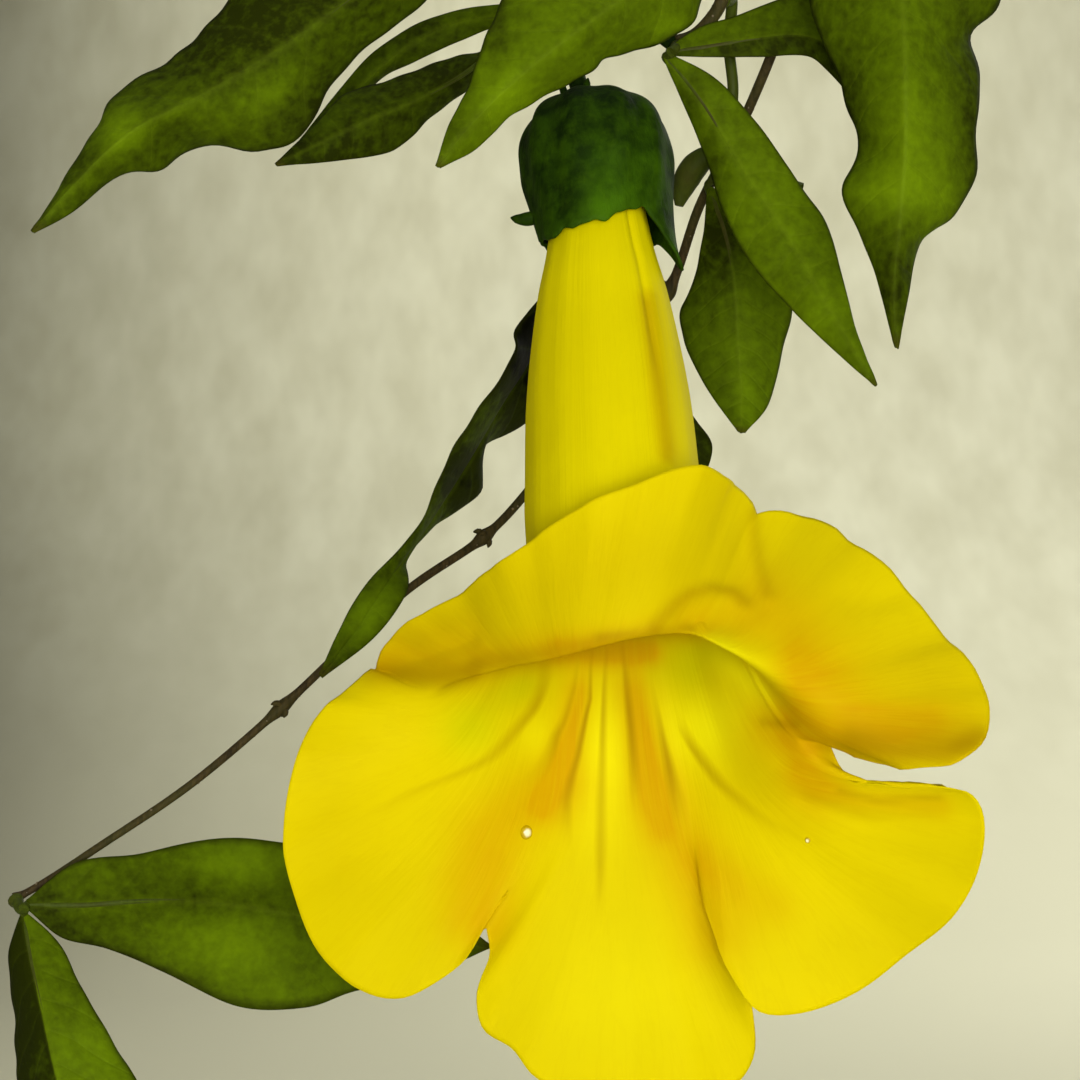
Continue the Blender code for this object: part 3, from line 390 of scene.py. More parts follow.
# %% Lamps and sky
FLOWER = (-0.09, -0.01, 0.25)
WARM = (1.0, 0.99, 0.96)
CREAM = (1.0, 0.99, 0.94)
LAMPS = {
    "key": ((-0.06, -1.45, 0.14), FLOWER, 0.5, 16.5, WARM),
    "fill": ((0.7, -1.4, 0.5), FLOWER, 0.8, 6.0, WARM),
    "top": ((0.1, 0.1, 2.0), (-0.05, 0.0, 0.2), 1.0, 2.0, (1.0, 1.0, 0.99)),
    "behind": ((1.0, 1.4, 1.0), FLOWER, 0.8, 6.0, WARM),
    "near_wall": ((-0.5, -2.0, 0.7), (-0.2, -3.2, 0.3), 0.8, 12.0, CREAM),
    "wash": ((1.3, 1.7, 0.4), (-0.4, 3.0, 0.3), 0.8, 42.5, CREAM),
}
SKY_STRENGTH = 0.35
for name, (spot, aim, width, watts, colour) in LAMPS.items():
    lamp = bpy.data.lights.new(name, "AREA")
    lamp.size = width
    lamp.energy = watts
    lamp.color = colour
    holder = in_scene(name, lamp)
    holder.location = spot
    holder.rotation_mode = "QUATERNION"
    holder.rotation_quaternion = (Vector(aim) - Vector(spot)).to_track_quat("-Z", "Y")
    holder.visible_camera = False
sky = bpy.data.worlds.new("soft_sky")
sky.use_nodes = True
backdrop = sky.node_tree.nodes["Background"]
backdrop.inputs["Color"].default_value = (*WARM, 1.0)
backdrop.inputs["Strength"].default_value = SKY_STRENGTH
bpy.context.scene.world = sky
print("lamps", list(LAMPS))

# %% [markdown]
# ## Dressing a solid
# The vine and its vase are one body with no joints. Each finished piece rides on it
# and stands for the solid that it replaces.

# %% Put a piece in place of its solid
def dress(piece, node=None):
    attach(piece, "root")
    if node:
        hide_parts(node)
    size = [round(v / MM, 1) for v in piece.dimensions]
    print(piece.name, "faces", len(piece.data.polygons), "size in mm", size)
    return piece


def join(name, parts):
    """Several objects made one mesh object."""
    target = parts[0]
    with bpy.context.temp_override(active_object=target, selected_editable_objects=parts):
        bpy.ops.object.join()
    target.name = name
    target.data.name = name
    return target


print("dressing ready")

# %% [markdown]
# ## A thin body round a surface
# Petals and leaves are sheets a third of a millimetre thick. A Solidify modifier
# gives even thickness, but a leaf is thicker at its midrib and thin at its margin, so
# both faces are set off from a middle surface by their own amounts, and a rim joins
# them. Values carried at the points, such as how far along a vein is, ride along.

# %% Shell builder
def normals_of(grid, closed):
    """Unit normals of a grid of points, the first axis crossed with the second."""
    up = np.gradient(grid, axis=0)
    if closed:
        across = np.roll(grid, -1, axis=1) - np.roll(grid, 1, axis=1)
    else:
        across = np.gradient(grid, axis=1)
    normal = np.cross(up, across)
    return normal / np.maximum(np.linalg.norm(normal, axis=2, keepdims=True), 1e-12)


def carry(obj, name, values):
    """Stores one value, or a vector, for each point of the mesh."""
    values = np.asarray(values, np.float32)
    kind = "FLOAT_VECTOR" if values.ndim > 1 and values.shape[-1] == 3 else "FLOAT"
    stored = obj.data.attributes.new(name, kind, "POINT")
    stored.data.foreach_set("vector" if kind == "FLOAT_VECTOR" else "value", values.ravel())


def shell(name, grid, above, below, closed, finishes, fields):
    """A thin body: front face `above` the surface, back face `below` it, in metres."""
    normal = normals_of(grid, closed)
    rows, columns = grid.shape[:2]
    front = grid + normal * above[..., None]
    back = grid - normal * below[..., None]
    count = rows * columns
    faces = ring_faces(rows, columns, closed)
    front_faces = len(faces)
    faces += [tuple(count + v for v in quad) for quad in ring_faces(rows, columns, closed, flipped=True)]
    back_faces = len(faces)
    last = (rows - 1) * columns
    for j in range(columns if closed else columns - 1):
        k = (j + 1) % columns
        faces.append((j, k, count + k, count + j))
        faces.append((last + j, count + last + j, count + last + k, last + k))
    if not closed:
        for i in range(rows - 1):
            a, b = i * columns, (i + 1) * columns
            faces.append((a, count + a, count + b, b))
            c, d = a + columns - 1, b + columns - 1
            faces.append((c, d, count + d, count + c))
    points = np.concatenate([front.reshape(-1, 3), back.reshape(-1, 3)])
    made = new_object(name, points, faces, finishes)
    index = np.zeros(len(faces), np.int32)
    index[front_faces:back_faces] = len(finishes) - 1
    made.data.polygons.foreach_set("material_index", index)
    for field, values in fields.items():
        flat = values.reshape(count, -1) if values.ndim == 3 else values.reshape(count)
        carry(made, field, np.concatenate([flat, flat]))
    return made


print("shell builder ready")

# %% [markdown]
# ## Round stalks along a path
# Stems, petioles, filaments and the raised veins under a leaf are all round, thin and
# curved. Curve objects with a bevel could make them, one object each. A Geometry
# Nodes tree sweeps a circle along any number of chains of points at once, each as
# thick as the value at its points says, so one tree serves every stalk.

# %% Geometry Nodes tree for stalks
def tree_with(name, sockets):
    """A Geometry Nodes tree with named inputs, and its group input and output."""
    tree = bpy.data.node_groups.new(name, "GeometryNodeTree")
    for socket, kind in sockets:
        tree.interface.new_socket(socket, in_out="INPUT", socket_type="NodeSocket" + kind)
    tree.interface.new_socket("Result", in_out="OUTPUT", socket_type="NodeSocketGeometry")
    return tree, tree.nodes.new("NodeGroupInput"), tree.nodes.new("NodeGroupOutput")


def finish_tree(tree, start, end, geometry):
    """Smooth shading, real geometry and the finish, which every tree here ends in."""
    smooth = add(tree, "GeometryNodeSetShadeSmooth", Geometry=geometry)
    real = add(tree, "GeometryNodeRealizeInstances", Geometry=smooth.outputs["Geometry"])
    paint = add(tree, "GeometryNodeSetMaterial", Geometry=real.outputs["Geometry"],
                Material=start.outputs["Finish"])
    tree.links.new(paint.outputs["Geometry"], end.inputs["Result"])
    return tree


def grow_with(tree, host, inputs):
    """Runs a tree on a host object and returns the result as a plain object."""
    modifier = host.modifiers.new("Grow", "NODES")
    modifier.node_group = tree
    for item in tree.interface.items_tree:
        if item.in_out == "INPUT" and item.name in inputs:
            modifier[item.identifier] = inputs[item.name]
    graph = bpy.context.evaluated_depsgraph_get()
    graph.update()
    mesh = bpy.data.meshes.new_from_object(host.evaluated_get(graph))
    name = host.name
    bpy.data.objects.remove(host)
    return in_scene(name, mesh)


def wire(name, points, edges):
    """A host object of points joined by edges, for a tree to work on."""
    mesh = bpy.data.meshes.new(name)
    mesh.from_pydata(np.asarray(points).tolist(), edges, [])
    return in_scene(name, mesh)


tree, start, end = tree_with("stalks_along_chains", [
    ("Chains", "Geometry"), ("Sides", "Int"), ("Finish", "Material")])
chain = add(tree, "GeometryNodeMeshToCurve", Mesh=start.outputs["Chains"])
thick = add(tree, "GeometryNodeInputNamedAttribute", {"data_type": "FLOAT"}, Name="thickness")
circle = add(tree, "GeometryNodeCurvePrimitiveCircle", Resolution=start.outputs["Sides"], Radius=1.0)
swept = add(tree, "GeometryNodeCurveToMesh", Curve=chain.outputs["Curve"],
            Profile_Curve=circle.outputs["Curve"], Scale=thick.outputs["Attribute"], Fill_Caps=True)
STALK_TREE = finish_tree(tree, start, end, swept.outputs["Mesh"])


def stalks(name, chains, sides, finish):
    """Round stalks, closed at both ends, from chains of (points, radii in mm)."""
    points = np.concatenate([points for points, _ in chains])
    edges, first = [], 0
    for line, _ in chains:
        edges += [(first + i, first + i + 1) for i in range(len(line) - 1)]
        first += len(line)
    host = wire(name, points, edges)
    carry(host, "thickness", np.concatenate([np.asarray(radii) for _, radii in chains]) * MM)
    return grow_with(STALK_TREE, host, {"Sides": sides, "Finish": finish})


def tapered(points, at, radii):
    """A chain for `stalks`: a smooth curve with its radii as (place, mm) stops."""
    return curve(points, at), graded(at, radii)


print("stalk tree nodes", len(STALK_TREE.nodes))

# %% [markdown]
# ## Turned pieces
# A potter turns the vase, so its shape is one half section spun round the axis. A
# Screw modifier does that as well. Here a tree bends a flat grid: each row takes a
# point of the section, each column an angle, and the seam is merged shut.

# %% Geometry Nodes tree for turning
SEAM_GAP = 0.000001
tree, start, end = tree_with("turned_on_a_wheel", [
    ("Section", "Geometry"), ("Steps", "Int"), ("Finish", "Material")])
position = add(tree, "GeometryNodeInputPosition").outputs[0]
count = add(tree, "GeometryNodeAttributeDomainSize", Geometry=start.outputs["Section"]).outputs["Point Count"]
flat = add(tree, "GeometryNodeMeshGrid", Size_X=1.0, Size_Y=1.0, Vertices_X=count,
           Vertices_Y=calc(tree, "ADD", start.outputs["Steps"], 1.0))
spot = add(tree, "ShaderNodeSeparateXYZ", Vector=position).outputs
row_share = calc(tree, "ADD", spot["X"], 0.5)
row = calc(tree, "ROUND", calc(tree, "MULTIPLY", row_share, calc(tree, "SUBTRACT", count, 1.0)))
pick = add(tree, "GeometryNodeSampleIndex", {"data_type": "FLOAT_VECTOR"},
           Geometry=start.outputs["Section"], Index=row, Value=position)
taken = add(tree, "ShaderNodeSeparateXYZ", Vector=pick.outputs["Value"]).outputs
angle = calc(tree, "MULTIPLY", calc(tree, "ADD", spot["Y"], 0.5), 2 * pi)
bent = add(tree, "ShaderNodeCombineXYZ", Z=taken["Z"],
           X=calc(tree, "MULTIPLY", taken["X"], calc(tree, "COSINE", angle)),
           Y=calc(tree, "MULTIPLY", taken["X"], calc(tree, "SINE", angle)))
round_body = add(tree, "GeometryNodeSetPosition", Geometry=flat.outputs["Mesh"],
                 Position=bent.outputs["Vector"])
closed_up = add(tree, "GeometryNodeMergeByDistance", Geometry=round_body.outputs["Geometry"],
                Distance=SEAM_GAP)
TURN_TREE = finish_tree(tree, start, end, closed_up.outputs["Geometry"])


def outward(obj):
    """Turns the faces of a closed mesh outwards if they point in."""
    body = bmesh.new()
    body.from_mesh(obj.data)
    bmesh.ops.recalc_face_normals(body, faces=body.faces)
    body.to_mesh(obj.data)
    body.free()
    return obj


def turned(name, section, wheel_steps, finish):
    """A closed body turned round the Z axis from (radius, height) pairs in mm."""
    points = [(r * MM, 0.0, z * MM) for r, z in section]
    host = wire(name, points, [(i, i + 1) for i in range(len(section) - 1)])
    return outward(grow_with(TURN_TREE, host, {"Steps": wheel_steps, "Finish": finish}))


print("turning tree nodes", len(TURN_TREE.nodes))

# %% [markdown]
# ## Vase
# The vase is a plain stoneware bottle under an ivory glaze. Light throwing rings
# stand in its wall, the glaze is thin and warm on the lip, brown specks of iron come
# through it, a fine net of cracks crosses it, and the clay is bare at the foot.
# All of that is worked out from the height and from noise, so no texture is needed.

# %% Ivory glaze
LIP_FROM, LIP_FULL = 0.1475, 0.1498
GLAZED_FROM, BARE_BELOW, GLAZE_WANDER = 0.0022, 0.0016, 0.0022
ivory, tree, surface, here = new_finish("ivory_glaze", Roughness=0.2, Coat_Weight=0.4, Coat_Roughness=0.08)
height = add(tree, "ShaderNodeSeparateXYZ", Vector=here).outputs["Z"]
drift = cloud(tree, here, 24.0, 4.0)
glaze = blended(tree, steps(tree, drift, (0.3, 0.0), (0.7, 1.0)), (0.62, 0.55, 0.41), (0.76, 0.71, 0.58))
cracks = add(tree, "ShaderNodeTexVoronoi", {"feature": "DISTANCE_TO_EDGE"}, Vector=here, Scale=190.0)
net = steps(tree, cracks.outputs["Distance"], (0.0, 1.0), (0.018, 0.0))
glaze = laid_over(tree, glaze, net, 0.22, (0.42, 0.33, 0.21))
iron = steps(tree, cloud(tree, here, 520.0, 2.0), (0.69, 0.0), (0.75, 1.0))
glaze = laid_over(tree, glaze, iron, 0.75, (0.17, 0.09, 0.035))
glaze = laid_over(tree, glaze, between(tree, height, LIP_FROM, LIP_FULL), 0.6, (0.45, 0.30, 0.16))
wavy_height = calc(tree, "SUBTRACT", height, calc(tree, "MULTIPLY", drift, GLAZE_WANDER))
bare = between(tree, wavy_height, GLAZED_FROM, BARE_BELOW)
clay = blended(tree, cloud(tree, here, 900.0), (0.33, 0.22, 0.13), (0.45, 0.32, 0.20))
coloured(tree, surface, blended(tree, bare, glaze, clay))
tree.links.new(calc(tree, "ADD", calc(tree, "MULTIPLY", bare, 0.6), 0.2), surface.inputs["Roughness"])
dimples = calc(tree, "ADD", cloud(tree, here, 140.0, 3.0), calc(tree, "MULTIPLY", net, -0.2))
bumped(tree, surface, dimples, 0.35, 0.0004)
print("ivory glaze nodes", len(tree.nodes))

# %% Turn the vase
VASE_HEIGHT = 150.0
VASE_WALL = 3.5
VASE_FLOOR = 5.0
VASE_OUTSIDE = [(17.0, 150.0), (14.6, 144.0), (13.1, 132.0), (13.2, 120.0), (16.5, 106.0), (24.5, 90.0),
                (33.0, 73.0), (37.8, 54.0), (37.4, 36.0), (33.2, 18.0), (28.6, 4.0)]
VASE_SECTIONS = 150
WHEEL_STEPS = 144
FLOOR_FLAT = 12.0
FLOOR_CORNER = 6.0
FOOT_RADIUS = 27.0
FOOT_EDGE = 1.2
FOOT_MIDDLE = 14.0
THROWING_RING = 0.11
RING_TURN, RING_DRIFT, RING_DRIFT_TURN = 1.15, 0.8, 0.21
RINGS_FROM, RINGS_FULL, RINGS_FADE, RINGS_GONE = 6.0, 20.0, 135.0, 145.0
BELOW_LIP = 0.6


def arc(centre, radius, first, last, count):
    """Points on an arc in the section, its angles in degrees from the outside."""
    angles = np.radians(np.linspace(first, last, count))
    return [(centre[0] + radius * cos(a), centre[1] + radius * sin(a)) for a in angles]


def wall_line():
    """The outside of the wall from lip to foot, with light throwing rings."""
    points = curve([(r, 0.0, z) for r, z in VASE_OUTSIDE], np.linspace(0.0, 1.0, VASE_SECTIONS))
    r, z = points[:, 0], points[:, 2]
    calm = rise(z, RINGS_FROM, RINGS_FULL) * rise(-z, -RINGS_GONE, -RINGS_FADE)
    rings = THROWING_RING * np.sin(z * RING_TURN + RING_DRIFT * np.sin(z * RING_DRIFT_TURN)) * calm
    return np.stack([r + rings, z], axis=1)


outside = wall_line()
lip_radius = VASE_OUTSIDE[0][0] - VASE_WALL / 2
lip = arc((lip_radius, VASE_HEIGHT - VASE_WALL / 2), VASE_WALL / 2, 180.0, 0.0, 15)
below_lip = outside[outside[:, 1] < VASE_HEIGHT - VASE_WALL / 2 - BELOW_LIP]
inner = [(r - VASE_WALL, z) for r, z in below_lip if z > VASE_FLOOR + FLOOR_CORNER][::-1]
corner = arc((inner[0][0] - FLOOR_CORNER, VASE_FLOOR + FLOOR_CORNER), FLOOR_CORNER, -90.0, -8.0, 8)
heel = arc((FOOT_RADIUS, FOOT_EDGE), FOOT_EDGE, 0.0, -90.0, 6)
section = [(0.0, VASE_FLOOR), (FLOOR_FLAT, VASE_FLOOR)] + corner + inner + lip
section += [tuple(point) for point in below_lip] + heel + [(FOOT_MIDDLE, 0.0), (0.0, 0.0)]
vase = turned("vase_glazed", section, WHEEL_STEPS, ivory)
dress(vase, "vase")

# %% [markdown]
# ## Water
# Water fills the vase to its shoulder. It climbs a little where it meets the glaze,
# and it is clear with a faint tint. Only its top can be seen, down the neck.

# %% Water with its raised edge
WATER_LEVEL = 84.0
WATER_STEPS = 96
GAP = 0.3
MENISCUS = 0.8
MENISCUS_REACH = 0.9
MENISCUS_RINGS = (6.0, 3.5, 2.2, 1.3, 0.7, 0.3)
water_look, tree, surface, here = new_finish(
    "clear_water", Roughness=0.02, IOR=1.333, Transmission_Weight=1.0)
coloured(tree, surface, blended(tree, cloud(tree, here, 60.0), (0.93, 0.97, 0.95), (0.98, 1.0, 0.99)))
bumped(tree, surface, cloud(tree, here, 120.0, 1.0), 0.08, 0.0004)
side_line = [(r - VASE_WALL - GAP, z) for r, z in outside if VASE_FLOOR + FLOOR_CORNER < z < WATER_LEVEL]
edge = [(side_line[0][0] - out, WATER_LEVEL + MENISCUS * np.exp(-out / MENISCUS_REACH) - MENISCUS)
        for out in MENISCUS_RINGS]
bottom = [(side_line[-1][0] - FLOOR_CORNER, VASE_FLOOR + GAP), (0.0, VASE_FLOOR + GAP)]
water_section = [(0.0, WATER_LEVEL - MENISCUS)] + edge + side_line + bottom
dress(turned("water_clear", water_section, WATER_STEPS, water_look), "water")

# %% [markdown]
# ## Stem
# The stem is wiry and woody: brown over green, with fine lengthwise ridges, a
# swelling at each node and short spurs where old leaves have dropped. It is one
# smooth curve from the vase's floor over the arch to the last pair of leaves, swept
# by the stalk tree. Small corky spots are scattered over it by a second tree.

# %% Bark
bark, tree, surface, here = new_finish("vine_bark", Roughness=0.65, Specular_IOR_Level=0.15)
fibres = cloud(tree, stretched(tree, here, (1.0, 1.0, 0.12)), 2600.0, 4.0, 0.6)
blotches = steps(tree, cloud(tree, here, 160.0, 3.0), (0.38, 0.0), (0.62, 1.0))
grain = steps(tree, fibres, (0.3, 0.0), (0.7, 1.0))
wood = blended(tree, grain, (0.018, 0.012, 0.004), (0.070, 0.046, 0.016))
coloured(tree, surface, laid_over(tree, wood, blotches, 0.45, (0.040, 0.045, 0.006)))
bumped(tree, surface, fibres, 0.6, 0.00018)
print("bark nodes", len(tree.nodes))

# %% The stem's path and thickness
STEM_IN_VASE = [(14.0, 5.0, 5.55), (4.0, 2.5, 65.0), (-6.3, 0.4, 120.0)]
STEM_ABOVE_VASE = [(-8.4, 1.0, 145.0), (-14.5, 5.0, 195.0), (-18.0, 8.0, 250.0),
                   (-20.5, 8.0, 300.0), (-28.0, 6.0, 334.0), (-45.0, 2.5, 347.0),
                   (-58.5, -0.5, 338.0), (-63.4, -2.0, 321.0)]
STEM_IN_VIEW = [(790, 0, 30), (746, 115, 35), (700, 205, 42), (668, 292, 47), (600, 390, 47),
                (523, 497, 44), (484, 537, 42), (405, 592, 38), (281, 708, 35), (190, 785, 33),
                (100, 846, 30), (45, 882, 28), (15, 899, 27)]
STEM_FOOT_RADIUS = 1.35
STEM_ARCH_RADIUS = 0.88
STEM_HANGING_RADIUS = 0.54
STEM_END_RADIUS = 0.38
STEM_NODE_SWELL = 0.75
STEM_NODE_REACH = 0.0035
NODE_LOW, NODE_MID, NODE_PEAK, NODE_FORK = 4, 5, 8, 9
NODE_BEHIND_TUBE, NODE_BARE_UPPER, NODE_BARE_LOWER, NODE_END = 14, 17, 19, 23
STEM_NODES = [NODE_LOW, NODE_MID, NODE_PEAK, NODE_FORK,
              NODE_BEHIND_TUBE, NODE_BARE_UPPER, NODE_BARE_LOWER, NODE_END]
STEM_ENTERS = 11
STEM_SAMPLES = 620
STEM_SIDES = 16
CLOSEST_SAMPLES = 0.0002

stem_route = [place(*point) for point in STEM_IN_VASE + STEM_ABOVE_VASE]
stem_points = np.array(stem_route + [sight(*point) for point in STEM_IN_VIEW])
stem_knots = spacing(stem_points)


def stem_radii(at):
    """Radius along the stem: it tapers, and swells at each node."""
    widths = [STEM_FOOT_RADIUS, STEM_ARCH_RADIUS, STEM_HANGING_RADIUS, STEM_END_RADIUS]
    radii = np.interp(at, [0.0, stem_knots[NODE_PEAK], stem_knots[STEM_ENTERS], 1.0], widths)
    for node in STEM_NODES:
        radii = radii * (1.0 + STEM_NODE_SWELL * bell(at, stem_knots[node], STEM_NODE_REACH))
    return radii


near_nodes = stem_knots[STEM_NODES][:, None] + np.linspace(-2.0, 2.0, 17)[None, :] * STEM_NODE_REACH
stem_at = np.concatenate([np.linspace(0.0, 1.0, STEM_SAMPLES), near_nodes.ravel()])
stem_at = np.unique(np.clip(stem_at, 0.0, 1.0))
stem_at = stem_at[np.concatenate([[True], np.diff(stem_at) > CLOSEST_SAMPLES])]
stem_line = hermite(stem_points, stem_knots, stem_at)
stem_width = stem_radii(stem_at)
print("stem length in mm", round(np.linalg.norm(np.diff(stem_line, axis=0), axis=1).sum() / MM))

# %% The flower's shoot and the spurs of fallen leaves
SHOOT_IN_VIEW = [(728, -60, 26), (722, 0, 27), (703, 28, 28), (678, 47, 28)]
SHOOT_RADIUS = 0.68
SHOOT_NODE_RADIUS = 1.22
SHOOT_NODE_REACH = 0.05
SHOOT_WAY_OUT = (-1.5, -2.5, -2.0)
SHOOT_END, SHOOT_END_TAPER = 0.99, 0.45
SPUR_LENGTH, SPUR_ROOT, SPUR_LEAN = 1.15, 0.8, 0.5
SPUR_RADII = [0.42, 0.42, 0.4, 0.36, 0.3, 0.2, 0.06]
shoot_root = stem_points[NODE_FORK]
shoot_route = [shoot_root, shoot_root + place(*SHOOT_WAY_OUT)] + [sight(*point) for point in SHOOT_IN_VIEW]
shoot_steps = np.linspace(0.0, 1.0, 90)
shoot_swell = (SHOOT_NODE_RADIUS / SHOOT_RADIUS - 1.0) * bell(shoot_steps, 1.0, SHOOT_NODE_REACH)
shoot_taper = 1.0 - SHOOT_END_TAPER * rise(shoot_steps, SHOOT_END, 1.0)
shoot_width = SHOOT_RADIUS * (1.0 + shoot_swell) * shoot_taper


def spurs(node, turns):
    """Short blunt spurs round a bare node of the stem, at these angles."""
    centre = stem_points[node]
    along = unit(hermite(stem_points, stem_knots, np.array([stem_knots[node] + 0.001]))[0] - centre)
    side = unit(np.cross(along, (0.0, 1.0, 0.0)))
    chains = []
    for turn_by in turns:
        out = side * cos(turn_by) + np.cross(along, side) * sin(turn_by)
        tip = centre + (out * SPUR_LENGTH + along * SPUR_LEAN) * MM
        route = [centre, centre + out * SPUR_ROOT * MM, tip]
        chains.append((curve(route, np.linspace(0.0, 1.0, len(SPUR_RADII))), SPUR_RADII))
    return chains


stem_chains = [(stem_line, stem_width), (curve(shoot_route, shoot_steps), shoot_width)]
stem_chains += spurs(NODE_BARE_UPPER, (0.2, 2.0, 3.3, 5.0)) + spurs(NODE_BARE_LOWER, (0.6, 2.4, 3.7, 5.4))
stem = stalks("stem_bark", stem_chains, STEM_SIDES, bark)
dress(stem, "vine_stem")

# %% Corky spots scattered over the stem
SPOTS_TO_METRE = 160000.0
SPOT_RADIUS = 0.00013
SPOT_SEED = 7
tree, start, end = tree_with("corky_spots", [
    ("Stem", "Geometry"), ("Density", "Float"), ("Size", "Float"), ("Seed", "Int"), ("Finish", "Material")])
scatter = add(tree, "GeometryNodeDistributePointsOnFaces", Mesh=start.outputs["Stem"],
              Density=start.outputs["Density"], Seed=start.outputs["Seed"])
speck = add(tree, "GeometryNodeMeshIcoSphere", Radius=start.outputs["Size"], Subdivisions=1)
pressed = add(tree, "GeometryNodeTransform", Geometry=speck.outputs["Mesh"], Scale=(1.0, 1.0, 0.45))
sizes = add(tree, "FunctionNodeRandomValue", {"data_type": "FLOAT"}, Seed=start.outputs["Seed"])
feed(tree, sizes, 2, 0.5)
feed(tree, sizes, 3, 1.2)
laid = add(tree, "GeometryNodeInstanceOnPoints", Points=scatter.outputs["Points"],
           Instance=pressed.outputs["Geometry"], Rotation=scatter.outputs["Rotation"],
           Scale=sizes.outputs[1])
SPOT_TREE = finish_tree(tree, start, end, laid.outputs["Instances"])

cork, tree, surface, here = new_finish("cork_spots", Roughness=0.8)
coloured(tree, surface, blended(tree, cloud(tree, here, 900.0), (0.10, 0.075, 0.04), (0.22, 0.17, 0.10)))
host = in_scene("stem_spots", stem.data.copy())
spot_sizes = {"Density": SPOTS_TO_METRE, "Size": SPOT_RADIUS, "Seed": SPOT_SEED, "Finish": cork}
dress(grow_with(SPOT_TREE, host, spot_sizes))

# %% [markdown]
# ## Flower tube and lobes
# The corolla is one piece: a tube that widens and opens into five rounded lobes. Its
# middle surface is lofted from rings round the tube, the lip of the throat and the
# lobes' edges, all read on the grid. Sculpting could do it, but a loft keeps the
# outline exact. Soft ripples, creases and a groove in the tube are then laid on.

# %% The corolla's shape
FLOWER_BASE = (592, 93, 30)
FLOWER_TILT = radians(26.0)
FLOWER_LEAN = radians(2.4)
TUBE = [(3.2, 3.1), (10.8, 4.1), (19.0, 5.2), (24.3, 6.3), (35.5, 7.8), (46.8, 8.4), (55.0, 9.0)]
TUBE_ROWS = 54
LIMB_ROWS = 84
LOBE_COLUMNS = 60
LIP = [(150, 500, 668, -8), (128, 545, 659, -12), (108, 592, 647, -14), (92, 640, 636, -14),
       (75, 690, 633, -12), (58, 735, 652, -12), (40, 772, 678, -10), (20, 795, 708, -7),
       (0, 795, 735, -3), (-22, 780, 775, 0), (-42, 750, 810, 4), (-64, 695, 835, 7),
       (-90, 630, 838, 8), (-108, 585, 835, 8), (-124, 545, 825, 7), (-145, 495, 790, 4),
       (-170, 455, 740, 1), (-195, 445, 685, -3)]
UPPER_LEFT = (165, 75, [(378, 672, 4), (384, 650, 2), (398, 630, 0), (425, 612, -2), (450, 597, -4),
                        (480, 576, -6), (512, 557, -8), (552, 525, -10), (600, 497, -11), (650, 478, -11),
                        (697, 465, -8), (722, 477, -5), (743, 492, -2), (756, 514, 0)])
UPPER_RIGHT = (75, 0, [(756, 514, 0), (775, 509, 1), (805, 511, 2), (832, 524, 2), (852, 546, 1),
                       (890, 573, 0), (925, 612, -2), (950, 643, -4), (976, 668, -7), (990, 703, -10),
                       (984, 740, -12), (955, 766, -13), (915, 768, -12), (880, 764, -9), (850, 752, -6),
                       (829, 740, -2)])
LOWER_RIGHT = (0, -64, [(829, 740, -2), (842, 764, -3), (868, 781, -4), (905, 788, -5), (950, 782, -6),
                        (974, 793, -6), (985, 825, -5), (975, 880, -2), (950, 920, 0), (905, 957, 2),
                        (855, 994, 3), (800, 1013, 4), (757, 1011, 4), (725, 965, 4), (703, 905, 6)])
LOWER_MIDDLE = (-64, -124, [(703, 905, 6), (728, 950, 8.5), (752, 1000, 9), (755, 1055, 9),
                            (735, 1085, 9), (690, 1100, 8), (635, 1104, 8), (580, 1098, 8),
                            (535, 1077, 8), (512, 1049, 8), (485, 1032, 8), (480, 1000, 7),
                            (488, 960, 6), (484, 927, 5)])
LOWER_LEFT = (-124, -195, [(484, 927, 5), (474, 950, 5), (440, 980, 5), (397, 999, 5), (355, 988, 4),
                           (320, 955, 3), (295, 900, 1), (283, 850, -1), (288, 790, -2), (303, 740, -1),
                           (325, 703, 0), (350, 683, 2), (378, 672, 4)])
LOBES = [UPPER_LEFT, UPPER_RIGHT, LOWER_RIGHT, LOWER_MIDDLE, LOWER_LEFT]


def flower_axes():
    """Unit vectors along the flower's axis, across it and up to the viewer."""
    tilt, lean = FLOWER_TILT, FLOWER_LEAN
    along = np.array((sin(lean) * cos(tilt), -sin(tilt), -cos(lean) * cos(tilt)))
    across = unit(np.array((1.0, 0.0, 0.0)) - along * along[0])
    return along, across, np.cross(along, across)


ALONG, ACROSS, UP = flower_axes()
FLOWER_ROOT = sight(*FLOWER_BASE)


def in_flower(height, radius, angle):
    """Metres of points given in mm along the flower's axis and out at an angle."""
    height, radius, angle = np.broadcast_arrays(height, radius, angle)
    out = np.cos(angle)[..., None] * ACROSS + np.sin(angle)[..., None] * UP
    return FLOWER_ROOT + (height[..., None] * ALONG + radius[..., None] * out) * MM


def lip_points(angles):
    degrees = np.array([row[0] for row in LIP], float)
    points = sights([row[1:] for row in LIP])
    degrees = np.concatenate([degrees[-2:] + 360.0, degrees, degrees[:2] - 360.0])[::-1]
    points = np.concatenate([points[-2:], points, points[:2]])[::-1]
    return hermite(points, degrees, angles)


